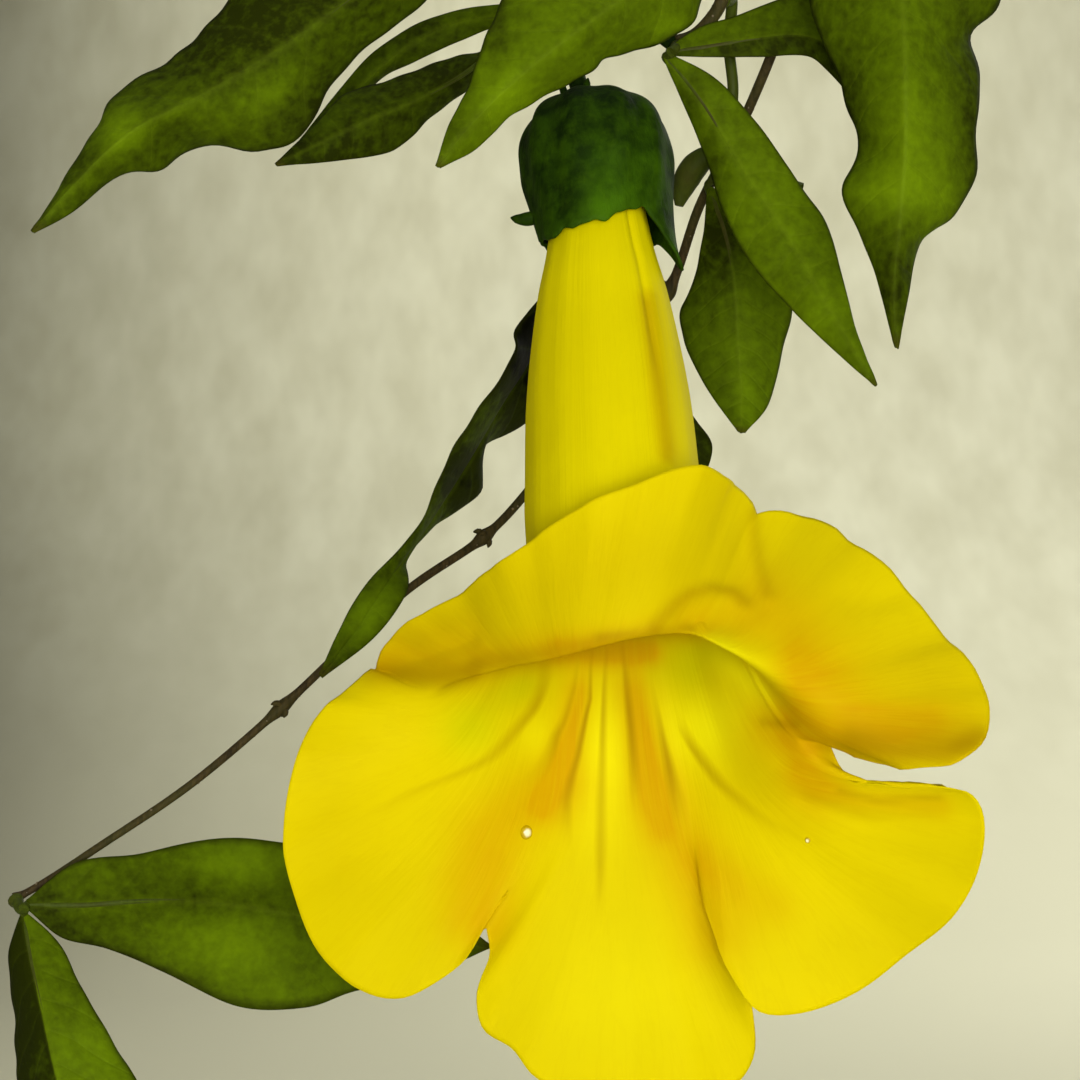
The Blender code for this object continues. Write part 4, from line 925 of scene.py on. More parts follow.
share = np.linspace(0.0, 1.0, LOBE_COLUMNS + 1)[:-1]
petal_angles = np.concatenate([first + (last - first) * share for first, last, _ in LOBES])
edges = np.concatenate([curve(sights(points), share) for _, _, points in LOBES])
tube = [in_flower(height, radius, np.radians(petal_angles)) for height, radius in TUBE]
sections = np.array(tube + [lip_points(petal_angles), edges])
columns, beyond_lip = [], []
for j in range(len(petal_angles)):
    knots = spacing(sections[:, j])
    tube_at = np.linspace(0.0, knots[-3], TUBE_ROWS + 1)[:-1]
    rows_at = np.concatenate([tube_at, np.linspace(knots[-3], 1.0, LIMB_ROWS + 1)])
    columns.append(hermite(sections[:, j], knots, rows_at))
    beyond_lip.append((rows_at - knots[-2]) / (1.0 - knots[-2]))
petal_grid = np.array(columns).transpose(1, 0, 2)
limb = np.clip(np.array(beyond_lip).T, -1.0, 1.0)
print("corolla points", petal_grid.shape)

# %% Ripples, creases and the groove in the tube
# Waves to the width of a lobe, their height in mm and their phase
RIPPLES = [(2.0, 0.45, 0.4), (4.0, 0.30, 2.1), (9.0, 0.12, 4.0), (17.0, 0.05, 1.0)]
# A line on the grid, its reach there and its height in mm
CREASES = [
    ([(717, 905), (724, 945), (733, 976)], 9.0, 0.15),
    ([(703, 905), (730, 960), (757, 1010)], 9.0, 0.12),
    ([(653, 626), (672, 605), (700, 592), (733, 596), (745, 606)], 8.0, -0.25),
    ([(690, 618), (730, 622)], 14.0, 0.3),
    ([(752, 515), (758, 560), (768, 600)], 7.0, -0.25),
    ([(560, 860), (520, 930), (497, 975)], 9.0, 0.25),
    ([(800, 800), (870, 822), (972, 822)], 9.0, 0.3),
    ([(470, 640), (430, 655), (392, 668)], 9.0, 0.25),
    ([(770, 640), (840, 600), (905, 600)], 12.0, 0.2),
]
GROOVE_ANGLE = 54.0
GROOVE_REACH = 5.0
GROOVE_DEPTH = 0.4
GROOVE_FROM, GROOVE_FULL, GROOVE_FADE, GROOVE_GONE = 10.0, 16.0, 30.0, 40.0
PLEATS = 15.0
PLEAT_HEIGHT = 0.03
PLEATS_FROM, PLEATS_FULL = 8.0, 14.0
PETAL_HALF, PETAL_THINNING = 0.16, 0.11


def from_line(places, line):
    """Distance on the grid of each place from a line through a few points."""
    line = np.array(line, float)
    nearest = np.full(places.shape[:-1], np.inf)
    for a, b in zip(line[:-1], line[1:]):
        run = b - a
        t = np.clip(((places - a) @ run) / (run @ run), 0.0, 1.0)
        nearest = np.minimum(nearest, np.linalg.norm(places - (a + t[..., None] * run), axis=-1))
    return nearest


def dabbed(places, dabs):
    """Soft patches on the grid: (column, row, reach across, reach down, turn, amount)."""
    total = np.zeros(places.shape[:-1])
    for column, row, wide, tall, turn_by, amount in dabs:
        x, y = places[..., 0] - column, places[..., 1] - row
        c, s = cos(radians(turn_by)), sin(radians(turn_by))
        total += amount * np.exp(-(((x * c + y * s) / wide) ** 2) - (((y * c - x * s) / tall) ** 2))
    return total


petal_out = normals_of(petal_grid, closed=True)
around = np.radians(petal_angles)[None, :]
free = np.clip(limb, 0.0, 1.0)
relief = np.zeros(free.shape)
for folds, height, phase in RIPPLES:
    lobe_turn = np.radians(petal_angles * 5.0)[None, :]
    relief += height * free**2 * np.sin(folds * lobe_turn + phase + 1.7 * free)
petal_seen = seen_at(petal_grid)
for line, reach, depth in CREASES:
    relief += depth * bell(from_line(petal_seen, line), 0.0, reach) * rise(free, 0.02, 0.2)
tube_height = (petal_grid - FLOWER_ROOT) @ ALONG / MM
in_groove = bell(petal_angles[None, :], GROOVE_ANGLE, GROOVE_REACH)
in_groove = in_groove * rise(tube_height, GROOVE_FROM, GROOVE_FULL)
relief -= GROOVE_DEPTH * (in_groove * rise(-tube_height, -GROOVE_GONE, -GROOVE_FADE))
pleats = np.sin(np.radians(petal_angles * PLEATS))[None, :] * rise(tube_height, PLEATS_FROM, PLEATS_FULL)
relief += PLEAT_HEIGHT * (pleats * (1.0 - rise(limb, -1.0, 0.3)))
petal_grid = petal_grid + petal_out * (relief * MM)[..., None]
petal_half = (PETAL_HALF - PETAL_THINNING * rise(free, 0.55, 1.0)) * MM
print("relief in mm", round(relief.min(), 2), round(relief.max(), 2))

# %% [markdown]
# ## Yellow petals
# The lobes are a clean warm yellow, amber along their junctions, with a paler band
# down the throat between dark lines that lead in. Painted shade is laid over that:
# amber where folds turn away from the light, brown in the creases, under the lip and
# over the upper lobes. Painted light brightens the throat's walls where the upper
# lobes shade them. Soft bands and patches are read on the grid and carried by the
# points. The lines stay sharp because each point carries a number that counts the
# lines from left to right, and the finish draws one wherever that number is whole.

# %% Bands, patches and lines on the petals
# Bands: a line on the grid, its reach and its strength
# Amber bands: the petal's own amber along its junctions and in the throat, and painted shade where folds turn
# away from the light, under the upper lobes' edges, along the upper right lobe's lower edge and in the tube's
# groove
AMBER_AND_SHADE_BANDS = [
    ([(385, 662), (440, 662), (500, 656), (560, 648)], 20, 0.6),
    ([(590, 640), (650, 630), (700, 626)], 16, 0.35),
    ([(400, 640), (470, 630)], 20, 0.3),
    ([(560, 652), (600, 655), (650, 652)], 14, 0.6),
    ([(630, 690), (640, 760), (660, 830)], 16, 0.5),
    ([(575, 690), (565, 750), (545, 810)], 13, 0.5),
    ([(860, 740), (960, 740)], 26, 0.4),
    ([(690, 612), (740, 625)], 24, 0.35),
    ([(760, 600), (800, 640), (830, 690)], 30, 0.3),
    ([(820, 670), (880, 725)], 30, 0.4),
    ([(792, 660), (800, 705)], 20, 0.5),
    ([(600, 655), (650, 655)], 14, 0.5),
    ([(770, 600), (860, 650), (960, 700)], 42, 0.22),
    ([(800, 735), (850, 728), (930, 720)], 20, 0.6),
    ([(772, 728), (800, 745), (812, 785)], 34, 0.6),
    ([(800, 772), (860, 802), (940, 806)], 14, 0.45),
    ([(560, 785), (520, 805), (482, 835), (470, 880), (470, 915)], 34, 0.6),
    ([(660, 800), (680, 840), (700, 890), (714, 935)], 34, 0.55),
    ([(700, 860), (770, 905)], 26, 0.35),
    ([(505, 860), (495, 930)], 24, 0.3),
    ([(645, 300), (652, 340), (658, 400), (666, 455)], 9, 0.3),
]
# Painted shade: brown in the creases and folds, under the lip of the throat, along the upper right lobe's
# lower edge and in the tube's groove, and a broad darkening over the upper lobes and the left lobe
SHADE_BANDS = [
    ([(653, 626), (672, 605), (689, 594), (711, 589), (733, 595), (744, 604)], 7, 0.4),
    ([(600, 652), (645, 650)], 12, 0.3),
    ([(375, 670), (400, 674), (440, 676), (470, 672)], 12, 0.55),
    ([(480, 664), (540, 656), (585, 647)], 11, 0.45),
    ([(600, 638), (640, 634), (690, 630)], 7, 0.5),
    ([(850, 738), (900, 752), (950, 755), (980, 735)], 13, 0.5),
    ([(765, 722), (795, 724)], 6, 0.4),
    ([(840, 790), (880, 800), (940, 795)], 4, 0.35),
    ([(648, 300), (654, 350), (660, 400), (667, 455)], 9, 0.45),
    ([(752, 515), (757, 555), (766, 595)], 7, 0.3),
    ([(450, 630), (600, 570), (690, 540)], 60, 0.25),
    ([(820, 600), (900, 670), (930, 700)], 60, 0.10),
    ([(860, 740), (960, 740)], 26, 0.22),
    ([(320, 760), (340, 860)], 60, 0.14),
]
# Patches: column, row, reach across, reach down, turn in degrees and strength
GREEN = [(470, 725, 32, 30, 0, 0.7), (520, 685, 32, 22, -30, 0.7), (690, 668, 28, 30, 0, 0.65),
         (655, 655, 16, 20, 0, 0.5), (715, 648, 40, 14, 10, 0.4)]
# Pale patches: partly the petal's own paler yellow, partly painted light that brightens the throat's walls
# where the upper lobes shade them and a few lobe spots that face the light
PALE_AND_LIT_PATCHES = [(712, 725, 46, 44, 0, 1.0), (722, 655, 30, 15, 45, 0.8), (765, 690, 30, 15, 42, 0.7),
        (803, 722, 28, 14, 38, 0.6), (535, 738, 18, 26, 0, 0.45), (890, 640, 60, 40, 25, 0.1),
        (620, 990, 90, 90, 0, 0.3), (470, 735, 24, 24, 0, 0.3), (690, 530, 40, 30, -15, 0.15)]
# Dark lines of the throat from left to right: strength, the row where the line has
# faded away, and its (row, column) places from the top down
THROAT_LINES = [
    (0.55, 835, [(640, 550), (680, 546), (695, 541), (710, 533), (725, 520), (742, 505), (757, 490),
                 (768, 470), (792, 409), (827, 350)]),
    (0.75, 790, [(640, 580), (665, 577), (685, 574), (700, 570), (715, 566), (725, 562), (735, 557),
                 (750, 553), (770, 545), (800, 520), (830, 490)]),
    (0.7, 850, [(640, 592), (670, 590), (700, 590), (715, 586), (735, 582), (755, 578), (775, 572),
                (800, 566), (840, 566), (870, 570)]),
    (0.45, 930, [(640, 607), (665, 605), (695, 603), (740, 602), (800, 601), (850, 600), (980, 599)]),
    (0.6, 815, [(640, 621), (670, 625), (700, 628), (730, 631), (770, 634), (810, 637), (840, 640)]),
    (0.8, 835, [(640, 649), (670, 653), (695, 657), (715, 660), (735, 663), (760, 668), (785, 672),
                (830, 678)]),
    (0.6, 850, [(640, 653), (680, 657), (705, 666), (725, 677), (745, 690), (765, 705), (783, 720),
                (813, 755), (840, 800)]),
]
LINE_STRENGTHS, LINE_ENDS, LINE_ROUTES = zip(*THROAT_LINES)
MIDDLE_LINE = 3.0
print("bands", len(AMBER_AND_SHADE_BANDS) + len(SHADE_BANDS), "patches", len(GREEN) + len(PALE_AND_LIT_PATCHES), "lines", len(THROAT_LINES))

# %% Petal finishes
# Colour of the amber bands, which are partly the petal's own amber and partly painted shade
AMBER_AND_SHADE_YELLOW = (0.60, 0.34, 0.0)
# Colour of the painted shade
SHADE_BROWN = (0.35, 0.20, 0.0)
LINE_BROWN = (0.34, 0.18, 0.0)


def petal_finish(name, low, high, inside):
    """The petal's finish; only its inner face has the pale and painted-light patches and the throat lines."""
    made, tree, surface, here = new_finish(name, Roughness=0.6, Specular_IOR_Level=0.02)
    yellow = blended(tree, steps(tree, cloud(tree, here, 55.0, 2.0), (0.3, 0.0), (0.7, 1.0)), low, high)
    threads = cloud(tree, stretched(tree, painted(tree, "flow", "Vector"), (1.0, 1.0, 0.35)), 2.6, 3.0, 0.65)
    yellow = laid_over(tree, yellow, lines(tree, threads, 0.035), 0.06, (0.48, 0.28, 0.0))
    if inside:
        # Pale yellow, partly the petal's own and partly painted light on the shaded walls of the throat
        yellow = blended(tree, painted(tree, "pale_and_lit"), yellow, (0.86, 0.80, 0.003))
        yellow = blended(tree, painted(tree, "green"), yellow, (0.52, 0.52, 0.0))
    # Amber laid over the yellow, partly the petal's own colour and partly painted shade
    ragged = calc(tree, "ADD", calc(tree, "MULTIPLY", threads, 0.8), 0.6)
    amber_and_shade = calc(tree, "MULTIPLY", painted(tree, "amber_and_shade"), ragged, clamp=True)
    yellow = blended(tree, amber_and_shade, yellow, AMBER_AND_SHADE_YELLOW)
    # Painted shade of the creases and folds
    yellow = blended(tree, painted(tree, "painted_shade"), yellow, SHADE_BROWN)
    if inside:
        from_line_middle = calc(tree, "PINGPONG", painted(tree, "line_count"), 0.5)
        line = steps(tree, from_line_middle, (0.03, 1.0), (0.21, 0.0))
        yellow = blended(tree, calc(tree, "MULTIPLY", line, painted(tree, "streak")), yellow, LINE_BROWN)
    coloured(tree, surface, yellow)
    bumped(tree, surface, threads, 0.25, 0.0003)
    return made


petal_outer = petal_finish("petal_outside", (0.66, 0.56, 0.0), (0.74, 0.635, 0.0), inside=False)
petal_inner = petal_finish("petal_inside", (0.64, 0.515, 0.0), (0.71, 0.575, 0.0), inside=True)
print("petal nodes", len(petal_inner.node_tree.nodes))

# %% Build the corolla
BEYOND_LINES = 60.0
LINES_APART = 0.01
THREADS_ROUND, THREADS_ALONG = 9.0, 6.0
LINE_FADE = 70.0
LINE_TOP, LINE_LOW, LINE_TOP_GAIN, LINE_GAIN_LOST = 660.0, 800.0, 1.45, 0.55
ORANGE_FADE, ORANGE_GONE = 740.0, 850.0
ORANGE_MOST, ORANGE_LEFT, ORANGE_RIGHT, ORANGE_REACH = 0.75, 1.5, 4.5, 0.42
PALE_MOST, PALE_REACH, PALE_ROW, PALE_ROWS = 0.75, 0.9, 765.0, 75.0


def banded(places, bands):
    """Soft bands on the grid: (line, reach, amount)."""
    return sum(amount * bell(from_line(places, line), 0.0, reach) for line, reach, amount in bands)


def line_count(places):
    """Counts the throat's lines from left to right at each place on the grid."""
    at_row = [graded(places[..., 1], route) for route in LINE_ROUTES]
    at_row = np.array([at_row[0] - BEYOND_LINES] + at_row + [at_row[-1] + BEYOND_LINES])
    apart = LINES_APART * np.arange(len(at_row))[:, None, None]
    at_row = np.maximum.accumulate(at_row + apart, axis=0)
    count = np.zeros(places.shape[:-1]) - 1.0
    for low, high in zip(at_row[:-1], at_row[1:]):
        count += np.clip((places[..., 0] - low) / (high - low), 0.0, 1.0)
    return count


rows_share = np.linspace(0.0, 1.0, petal_grid.shape[0])[:, None]
flow = np.broadcast_arrays(THREADS_ROUND * np.cos(around), THREADS_ROUND * np.sin(around),
                           THREADS_ALONG * rows_share)
counted = line_count(petal_seen)
seen_row = petal_seen[..., 1]
lower_side = bell(petal_angles[None, :], -90.0, 62.0) ** 0.5 * (petal_angles < 0.0)[None, :]
throat = lower_side * rise(limb, -0.9, -0.4)
line_end = np.interp(counted, range(len(LINE_ENDS)), LINE_ENDS)
line_share = np.interp(counted, range(len(LINE_STRENGTHS)), LINE_STRENGTHS)
streak = throat * line_share * (1.0 - rise(seen_row, line_end - LINE_FADE, line_end))
streak = streak * (abs(counted - MIDDLE_LINE) < MIDDLE_LINE + 0.5)
streak = streak * (LINE_TOP_GAIN - LINE_GAIN_LOST * rise(seen_row, LINE_TOP, LINE_LOW))
in_throat = throat * (1.0 - rise(seen_row, ORANGE_FADE, ORANGE_GONE))
between_lines = bell(counted, ORANGE_LEFT, ORANGE_REACH) + bell(counted, ORANGE_RIGHT, ORANGE_REACH)
orange_bands = ORANGE_MOST * in_throat * between_lines
pale_band = PALE_MOST * throat * bell(counted, MIDDLE_LINE, PALE_REACH) * bell(seen_row, PALE_ROW, PALE_ROWS)
# The points carry painted shade, and amber and pale patches that are partly painted shade and painted light
fields = {
    "flow": np.stack(flow, axis=-1),
    "line_count": counted,
    "streak": np.clip(streak, 0.0, 0.95),
    "amber_and_shade": np.clip(banded(petal_seen, AMBER_AND_SHADE_BANDS) + orange_bands, 0.0, 0.95),
    "painted_shade": np.clip(banded(petal_seen, SHADE_BANDS), 0.0, 0.8),
    "green": np.clip(dabbed(petal_seen, GREEN), 0.0, 0.8),
    "pale_and_lit": np.clip(dabbed(petal_seen, PALE_AND_LIT_PATCHES) + pale_band, 0.0, 1.0),
}
petal_faces = [petal_outer, petal_inner]
corolla = shell("corolla_petals", petal_grid, petal_half, petal_half, True, petal_faces, fields)
dress(corolla, "corolla")

# %% [markdown]
# ## Calyx and its stalk
# The calyx is a puffed green cup with ten low ribs and an uneven rim that turns up in
# a flap at the right. It hangs from a short curved stalk. The cup is a turned shape
# whose rim and ribs depend on the angle, so its rings are written out as points.

# %% Calyx green
calyx_green, tree, surface, here = new_finish("calyx_green", Roughness=0.6, Specular_IOR_Level=0.05)
mottle = cloud(tree, here, 420.0, 4.0, 0.6)
green = blended(tree, steps(tree, mottle, (0.38, 0.0), (0.62, 1.0)), (0.004, 0.013, 0.0), (0.018, 0.046, 0.0))
# Painted light: a brighter green where light thrown back from the yellow tube falls on the cup
painted_tube_light = calc(tree, "ADD", calc(tree, "MULTIPLY", mottle, 1.6), 0.2)
painted_tube_light = calc(tree, "MULTIPLY", painted(tree, "painted_tube_light"), painted_tube_light, clamp=True)
green = blended(tree, painted_tube_light, green, (0.058, 0.150, 0.001))
downy = cloud(tree, stretched(tree, here, (1.0, 1.0, 0.3)), 1500.0, 4.0, 0.6)
green = laid_over(tree, green, steps(tree, downy, (0.5, 0.0), (0.75, 1.0)), 0.2, (0.040, 0.080, 0.001))
coloured(tree, surface, green)
bumped(tree, surface, calc(tree, "ADD", downy, mottle), 0.5, 0.0003)
print("calyx nodes", len(tree.nodes))

# %% The cup and its flap
CALYX = [(1.2, 1.1), (1.4, 2.7), (2.2, 4.9), (3.9, 6.7), (6.8, 7.6), (10.2, 7.5), (13.6, 6.85),
         (16.6, 6.2)]
CALYX_WALL = 0.6
CALYX_FLOOR_RADIUS = 3.9
CALYX_TEETH = 5
CALYX_TOOTH_HEIGHT = 0.4
CALYX_FRONT_TURN, CALYX_FRONT_REACH, CALYX_FRONT_HEIGHT = 2.15, 0.85, 2.7
CALYX_FLAP_TURN, CALYX_FLAP_REACH, CALYX_FLAP_HEIGHT = 0.1, 0.32, 4.4
CALYX_FLAP_SPREAD = 2.0
CALYX_RIBS = 10
CALYX_RIB_HEIGHT = 0.2
CALYX_LUMP_HEIGHT = 0.14
CALYX_RIB_FADE = 6.3
CALYX_ROWS = 56
CALYX_COLUMNS = 220
CUP_FLOOR = TUBE[0][0] - GAP
cup_angles = np.linspace(-pi, pi, CALYX_COLUMNS + 1)[:-1]
flap = bell(cup_angles, CALYX_FLAP_TURN, CALYX_FLAP_REACH)
rim = CALYX_TOOTH_HEIGHT * np.sin(CALYX_TEETH * cup_angles + 0.6) + CALYX_FLAP_HEIGHT * flap
rim += CALYX_FRONT_HEIGHT * bell(cup_angles, CALYX_FRONT_TURN, CALYX_FRONT_REACH)
rim += 0.18 * np.sin(13.0 * cup_angles + 1.0) + 0.10 * np.sin(22.0 * cup_angles)
cup_line = curve([(height, 0.0, radius) for height, radius in CALYX], np.linspace(0.0, 1.0, CALYX_ROWS))
outer_rings, inner_rings = [], []
for height, _, radius in cup_line:
    grow = (height / CALYX[-1][0]) ** 3
    fade = min(1.0, radius / CALYX_RIB_FADE) * (1.0 - grow)
    ribs = CALYX_RIB_HEIGHT * np.cos(CALYX_RIBS * cup_angles)
    lumps = CALYX_LUMP_HEIGHT * np.sin(3.0 * cup_angles + 0.5 * height)
    lumps *= np.sin(0.6 * height + 2.0 * np.sin(2.0 * cup_angles))
    wide = radius + (ribs + lumps) * fade + CALYX_FLAP_SPREAD * flap * grow**2
    tall = height + rim * grow
    outer_rings.append(in_flower(tall, wide, cup_angles))
    if height > CUP_FLOOR:
        thin = CALYX_WALL * (1.0 - 0.4 * grow)
        inner_rings.append(in_flower(tall - 0.1 * grow, wide - thin, cup_angles))
turned_over = in_flower(tall + 0.1, wide - 0.18, cup_angles)
floor = in_flower(CUP_FLOOR, CALYX_FLOOR_RADIUS, cup_angles)
cup_rows = np.array(outer_rings + [turned_over] + inner_rings[::-1] + [floor])
cup_faces = ring_faces(len(cup_rows), CALYX_COLUMNS, closed=True, flipped=True)
cup_faces.append(tuple(range(CALYX_COLUMNS)))
cup_faces.append(tuple(range((len(cup_rows) - 1) * CALYX_COLUMNS, len(cup_rows) * CALYX_COLUMNS))[::-1])
cup = outward(new_object("cup", cup_rows, cup_faces, [calyx_green]))
# Patches of painted light from the tube: column, row, reach across, reach down, turn and strength
TUBE_LIGHT_PATCHES = [(606, 208, 24, 30, 0, 0.62), (570, 238, 22, 14, 0, 0.3), (645, 180, 26, 50, 0, 0.28),
        (600, 160, 16, 20, 0, 0.25), (672, 250, 12, 20, 20, 0.3)]
carry(cup, "painted_tube_light", np.clip(dabbed(seen_at(cup_rows), TUBE_LIGHT_PATCHES), 0.0, 0.9).reshape(-1))
print("cup rows", len(cup_rows))

# %% The stalk, the rim's spur and two small bracts
PEDICEL = [(650, 24, 28), (620, 14, 30), (590, 22, 31), (577, 52, 32), (577, 80, 31)]
PEDICEL_RADII = [(0.0, 0.855), (0.85, 0.95), (1.0, 1.425)]
PEDICEL_END = 2.0
RIM_SPUR = [(14.6, 5.9, 3.05), (14.9, 6.8, 3.08), (14.9, 7.9, 3.1), (14.6, 8.8, 3.12)]
RIM_SPUR_RADII = [(0.0, 0.75), (0.5, 0.7), (0.85, 0.4), (1.0, 0.08)]
BRACTS = [[(570, 104, 25), (564, 92, 24), (560, 79, 24)], [(584, 102, 25), (586, 90, 24), (588, 78, 24)]]
BRACT_RADII = [(0.0, 0.45), (0.8, 0.36), (1.0, 0.08)]
CALYX_STALK_SIDES = 20
PEDICEL_WAY_OUT = (-1.0, 0.0, 0.75)
PEDICEL_SUNK, PEDICEL_OUT = 0.3, 1.6
shoot_node = sight(*SHOOT_IN_VIEW[-1])
first_bit = unit(PEDICEL_WAY_OUT)
route = [shoot_node + first_bit * PEDICEL_SUNK * MM, shoot_node + first_bit * PEDICEL_OUT * MM]
route += [sight(*point) for point in PEDICEL] + [FLOWER_ROOT + ALONG * PEDICEL_END * MM]
spur_route = [in_flower(*point) for point in RIM_SPUR]
long_run, short_run = np.linspace(0.0, 1.0, 70), np.linspace(0.0, 1.0, 12)
calyx_chains = [tapered(route, long_run, PEDICEL_RADII), tapered(spur_route, short_run, RIM_SPUR_RADII)]
calyx_chains += [tapered(sights(bract), short_run, BRACT_RADII) for bract in BRACTS]
calyx = join("calyx_cup", [cup, stalks("pedicel", calyx_chains, CALYX_STALK_SIDES, calyx_green)])
dress(calyx, "calyx")

# %% [markdown]
# ## Pistil and stamens
# Inside the tube a slender style with a two-lobed stigma runs along the upper side,
# with four stamens whose anthers part into two pale sacs. They are stalks again, each
# swelling where an anther or the stigma sits.

# %% Cream finish
cream, tree, surface, here = new_finish("stamen_cream", Roughness=0.55)
dusty = steps(tree, cloud(tree, here, 900.0, 4.0), (0.35, 0.0), (0.65, 1.0))
coloured(tree, surface, blended(tree, dusty, (0.62, 0.52, 0.16), (0.86, 0.78, 0.42)))
bumped(tree, surface, cloud(tree, here, 2600.0, 2.0), 0.4, 0.0002)
print("cream nodes", len(tree.nodes))

# %% The stalks inside the flower
UPWARD = pi / 2
DISC = [(3.25, 0.0), (4.0, 0.0), (4.7, 0.0)]
DISC_RADII = [(0.0, 2.0), (0.1, 2.2), (0.8, 2.1), (1.0, 1.7)]
STYLE = [(4.1, 0.2), (9.0, 0.4), (22.5, 2.0), (45.0, 5.0), (59.4, 6.5)]
STYLE_RADII = [(0.0, 0.8), (0.16, 0.95), (0.3, 0.36), (0.95, 0.32), (1.0, 0.42)]
STIGMA_RADII = [(0.0, 0.3), (0.5, 0.75), (0.85, 0.6), (1.0, 0.1)]
FILAMENT = [(3.9, 1.3), (11.0, 2.5), (25.0, 4.4)]
FILAMENT_RADII = [(0.0, 0.42), (1.0, 0.26)]
ANTHER_FOOT, ANTHER_TIP = 5.9, 6.2
ANTHER_LENGTH = 4.0
ANTHER_SPREAD = 0.13
SAC_RADII = [(0.0, 0.2), (0.2, 0.6), (0.5, 0.68), (0.85, 0.5), (1.0, 0.06)]
STAMENS = [(0.32, 47.0), (-0.32, 47.0), (0.62, 40.0), (-0.62, 40.0)]
INNER_SIDES = 12


def run_up(points, angle):
    """A line of (height, radius) points up the tube, at one angle round it."""
    return [in_flower(height, radius, angle) for height, radius in points]


many = np.linspace(0.0, 1.0, 60)
style = tapered(run_up(STYLE, UPWARD), many, STYLE_RADII)
inner_chains = [tapered(run_up(DISC, 0.0), many[::6], DISC_RADII), style]
for side in (-1.0, 1.0):
    lobe = [style[0][-2]] + run_up([(60.2, 6.6 + 0.5 * side), (62.0, 6.7 + 1.1 * side)], UPWARD)
    inner_chains.append(tapered(lobe, many[::5], STIGMA_RADII))
for turn_by, foot in STAMENS:
    angle = UPWARD + turn_by
    inner_chains.append(tapered(run_up(FILAMENT + [(foot, ANTHER_FOOT)], angle), many, FILAMENT_RADII))
    for side in (-1.0, 1.0):
        splay = angle - turn_by * 0.25 + ANTHER_SPREAD * side
        sac = run_up([(foot - 0.2, ANTHER_FOOT)], angle)
        sac += run_up([(foot + 1.8, ANTHER_FOOT + 0.1), (foot + ANTHER_LENGTH, ANTHER_TIP)], splay)
        inner_chains.append(tapered(sac, many[::4], SAC_RADII))
inner = stalks("pistil_and_stamens_fine", inner_chains, INNER_SIDES, cream)
dress(inner, "pistil_and_stamens")

# %% [markdown]
# ## Leaf finishes
# The leaflets are leathery and satin, dark green with slightly lighter veins. The
# midrib and the curved side veins are drawn from two values that each point carries:
# how far out it is from the midrib, and a number that is whole on each side vein. A
# blade is brighter where it faces the light: `tone` carries that.

# %% Upper face and underside
VEIN_SLANT = 0.62
VEIN_BEND = 0.07
VEIN_OFFSET = 0.18
SHADED_FROM, SHADED_FULL, SHADED_MOST = -0.2, -0.5, 0.95
MARGIN_GREEN = (0.016, 0.018, 0.001)
TIP_BROWN = (0.040, 0.028, 0.004)


def swung(tree, noise, reach):
    """A noise that swings about zero instead of about a half."""
    return calc(tree, "MULTIPLY", calc(tree, "SUBTRACT", noise, 0.5), reach)


def leaf_finish(name, dark, bright, vein, roughness):
    """A leaf's face: its tone, with veins, a dark margin and a brown tip laid over."""
    made, tree, surface, here = new_finish(name, Roughness=roughness, Specular_IOR_Level=0.04)
    fine = cloud(tree, here, 900.0, 2.0, 0.6)
    tone = calc(tree, "ADD", painted(tree, "tone"), swung(tree, cloud(tree, here, 80.0, 3.0, 0.6), 0.7))
    tone = calc(tree, "ADD", tone, swung(tree, fine, 0.6))
    green = blended(tree, steps(tree, tone, (0.0, 0.0), (1.0, 1.0)), dark, bright)
    shaded = between(tree, tone, SHADED_FROM, SHADED_FULL, 0.0, SHADED_MOST)
    green = blended(tree, shaded, green, (0.001, 0.001, 0.0))
    from_vein = calc(tree, "PINGPONG", painted(tree, "vein_count"), 0.5)
    side_veins = steps(tree, from_vein, (0.0, 1.0), (0.03, 0.5), (0.09, 0.0))
    green = laid_over(tree, green, side_veins, 0.05, vein)
    from_rib = calc(tree, "ABSOLUTE", painted(tree, "vein_out"))
    midrib = steps(tree, from_rib, (0.0, 1.0), (0.05, 0.8), (0.11, 0.0))
    green = laid_over(tree, green, midrib, 0.10, vein)
    margin = steps(tree, calc(tree, "ABSOLUTE", painted(tree, "across")), (0.88, 0.0), (0.985, 1.0))
    green = laid_over(tree, green, margin, 0.6, MARGIN_GREEN)
    tip = steps(tree, painted(tree, "share"), (0.965, 0.0), (0.99, 1.0))
    green = laid_over(tree, green, tip, 0.6, TIP_BROWN)
    coloured(tree, surface, green)
    bumped(tree, surface, calc(tree, "SUBTRACT", fine, calc(tree, "MULTIPLY", side_veins, 0.5)), 0.3, 0.0003)
    return made


leaf_top = leaf_finish("leaf_upper_face", (0.016, 0.022, 0.0), (0.142, 0.232, 0.001),
                       (0.170, 0.240, 0.010), 0.7)
leaf_under = leaf_finish("leaf_underside", (0.040, 0.060, 0.002), (0.140, 0.210, 0.008),
                         (0.180, 0.240, 0.030), 0.8)
print("leaf nodes", len(leaf_top.node_tree.nodes))

# %% Green of the leaf stalks
petiole_look, tree, surface, here = new_finish("petiole_green", Roughness=0.55, Specular_IOR_Level=0.12)
streaky = cloud(tree, stretched(tree, here, (1.0, 1.0, 0.25)), 1600.0, 4.0, 0.6)
patchy = steps(tree, cloud(tree, here, 130.0, 3.0), (0.4, 0.0), (0.62, 1.0))
stalk_green = blended(tree, streaky, (0.020, 0.030, 0.001), (0.070, 0.100, 0.006))
coloured(tree, surface, laid_over(tree, stalk_green, patchy, 0.55, (0.045, 0.030, 0.008)))
bumped(tree, surface, streaky, 0.4, 0.0002)
print("leaf stalk nodes", len(tree.nodes))

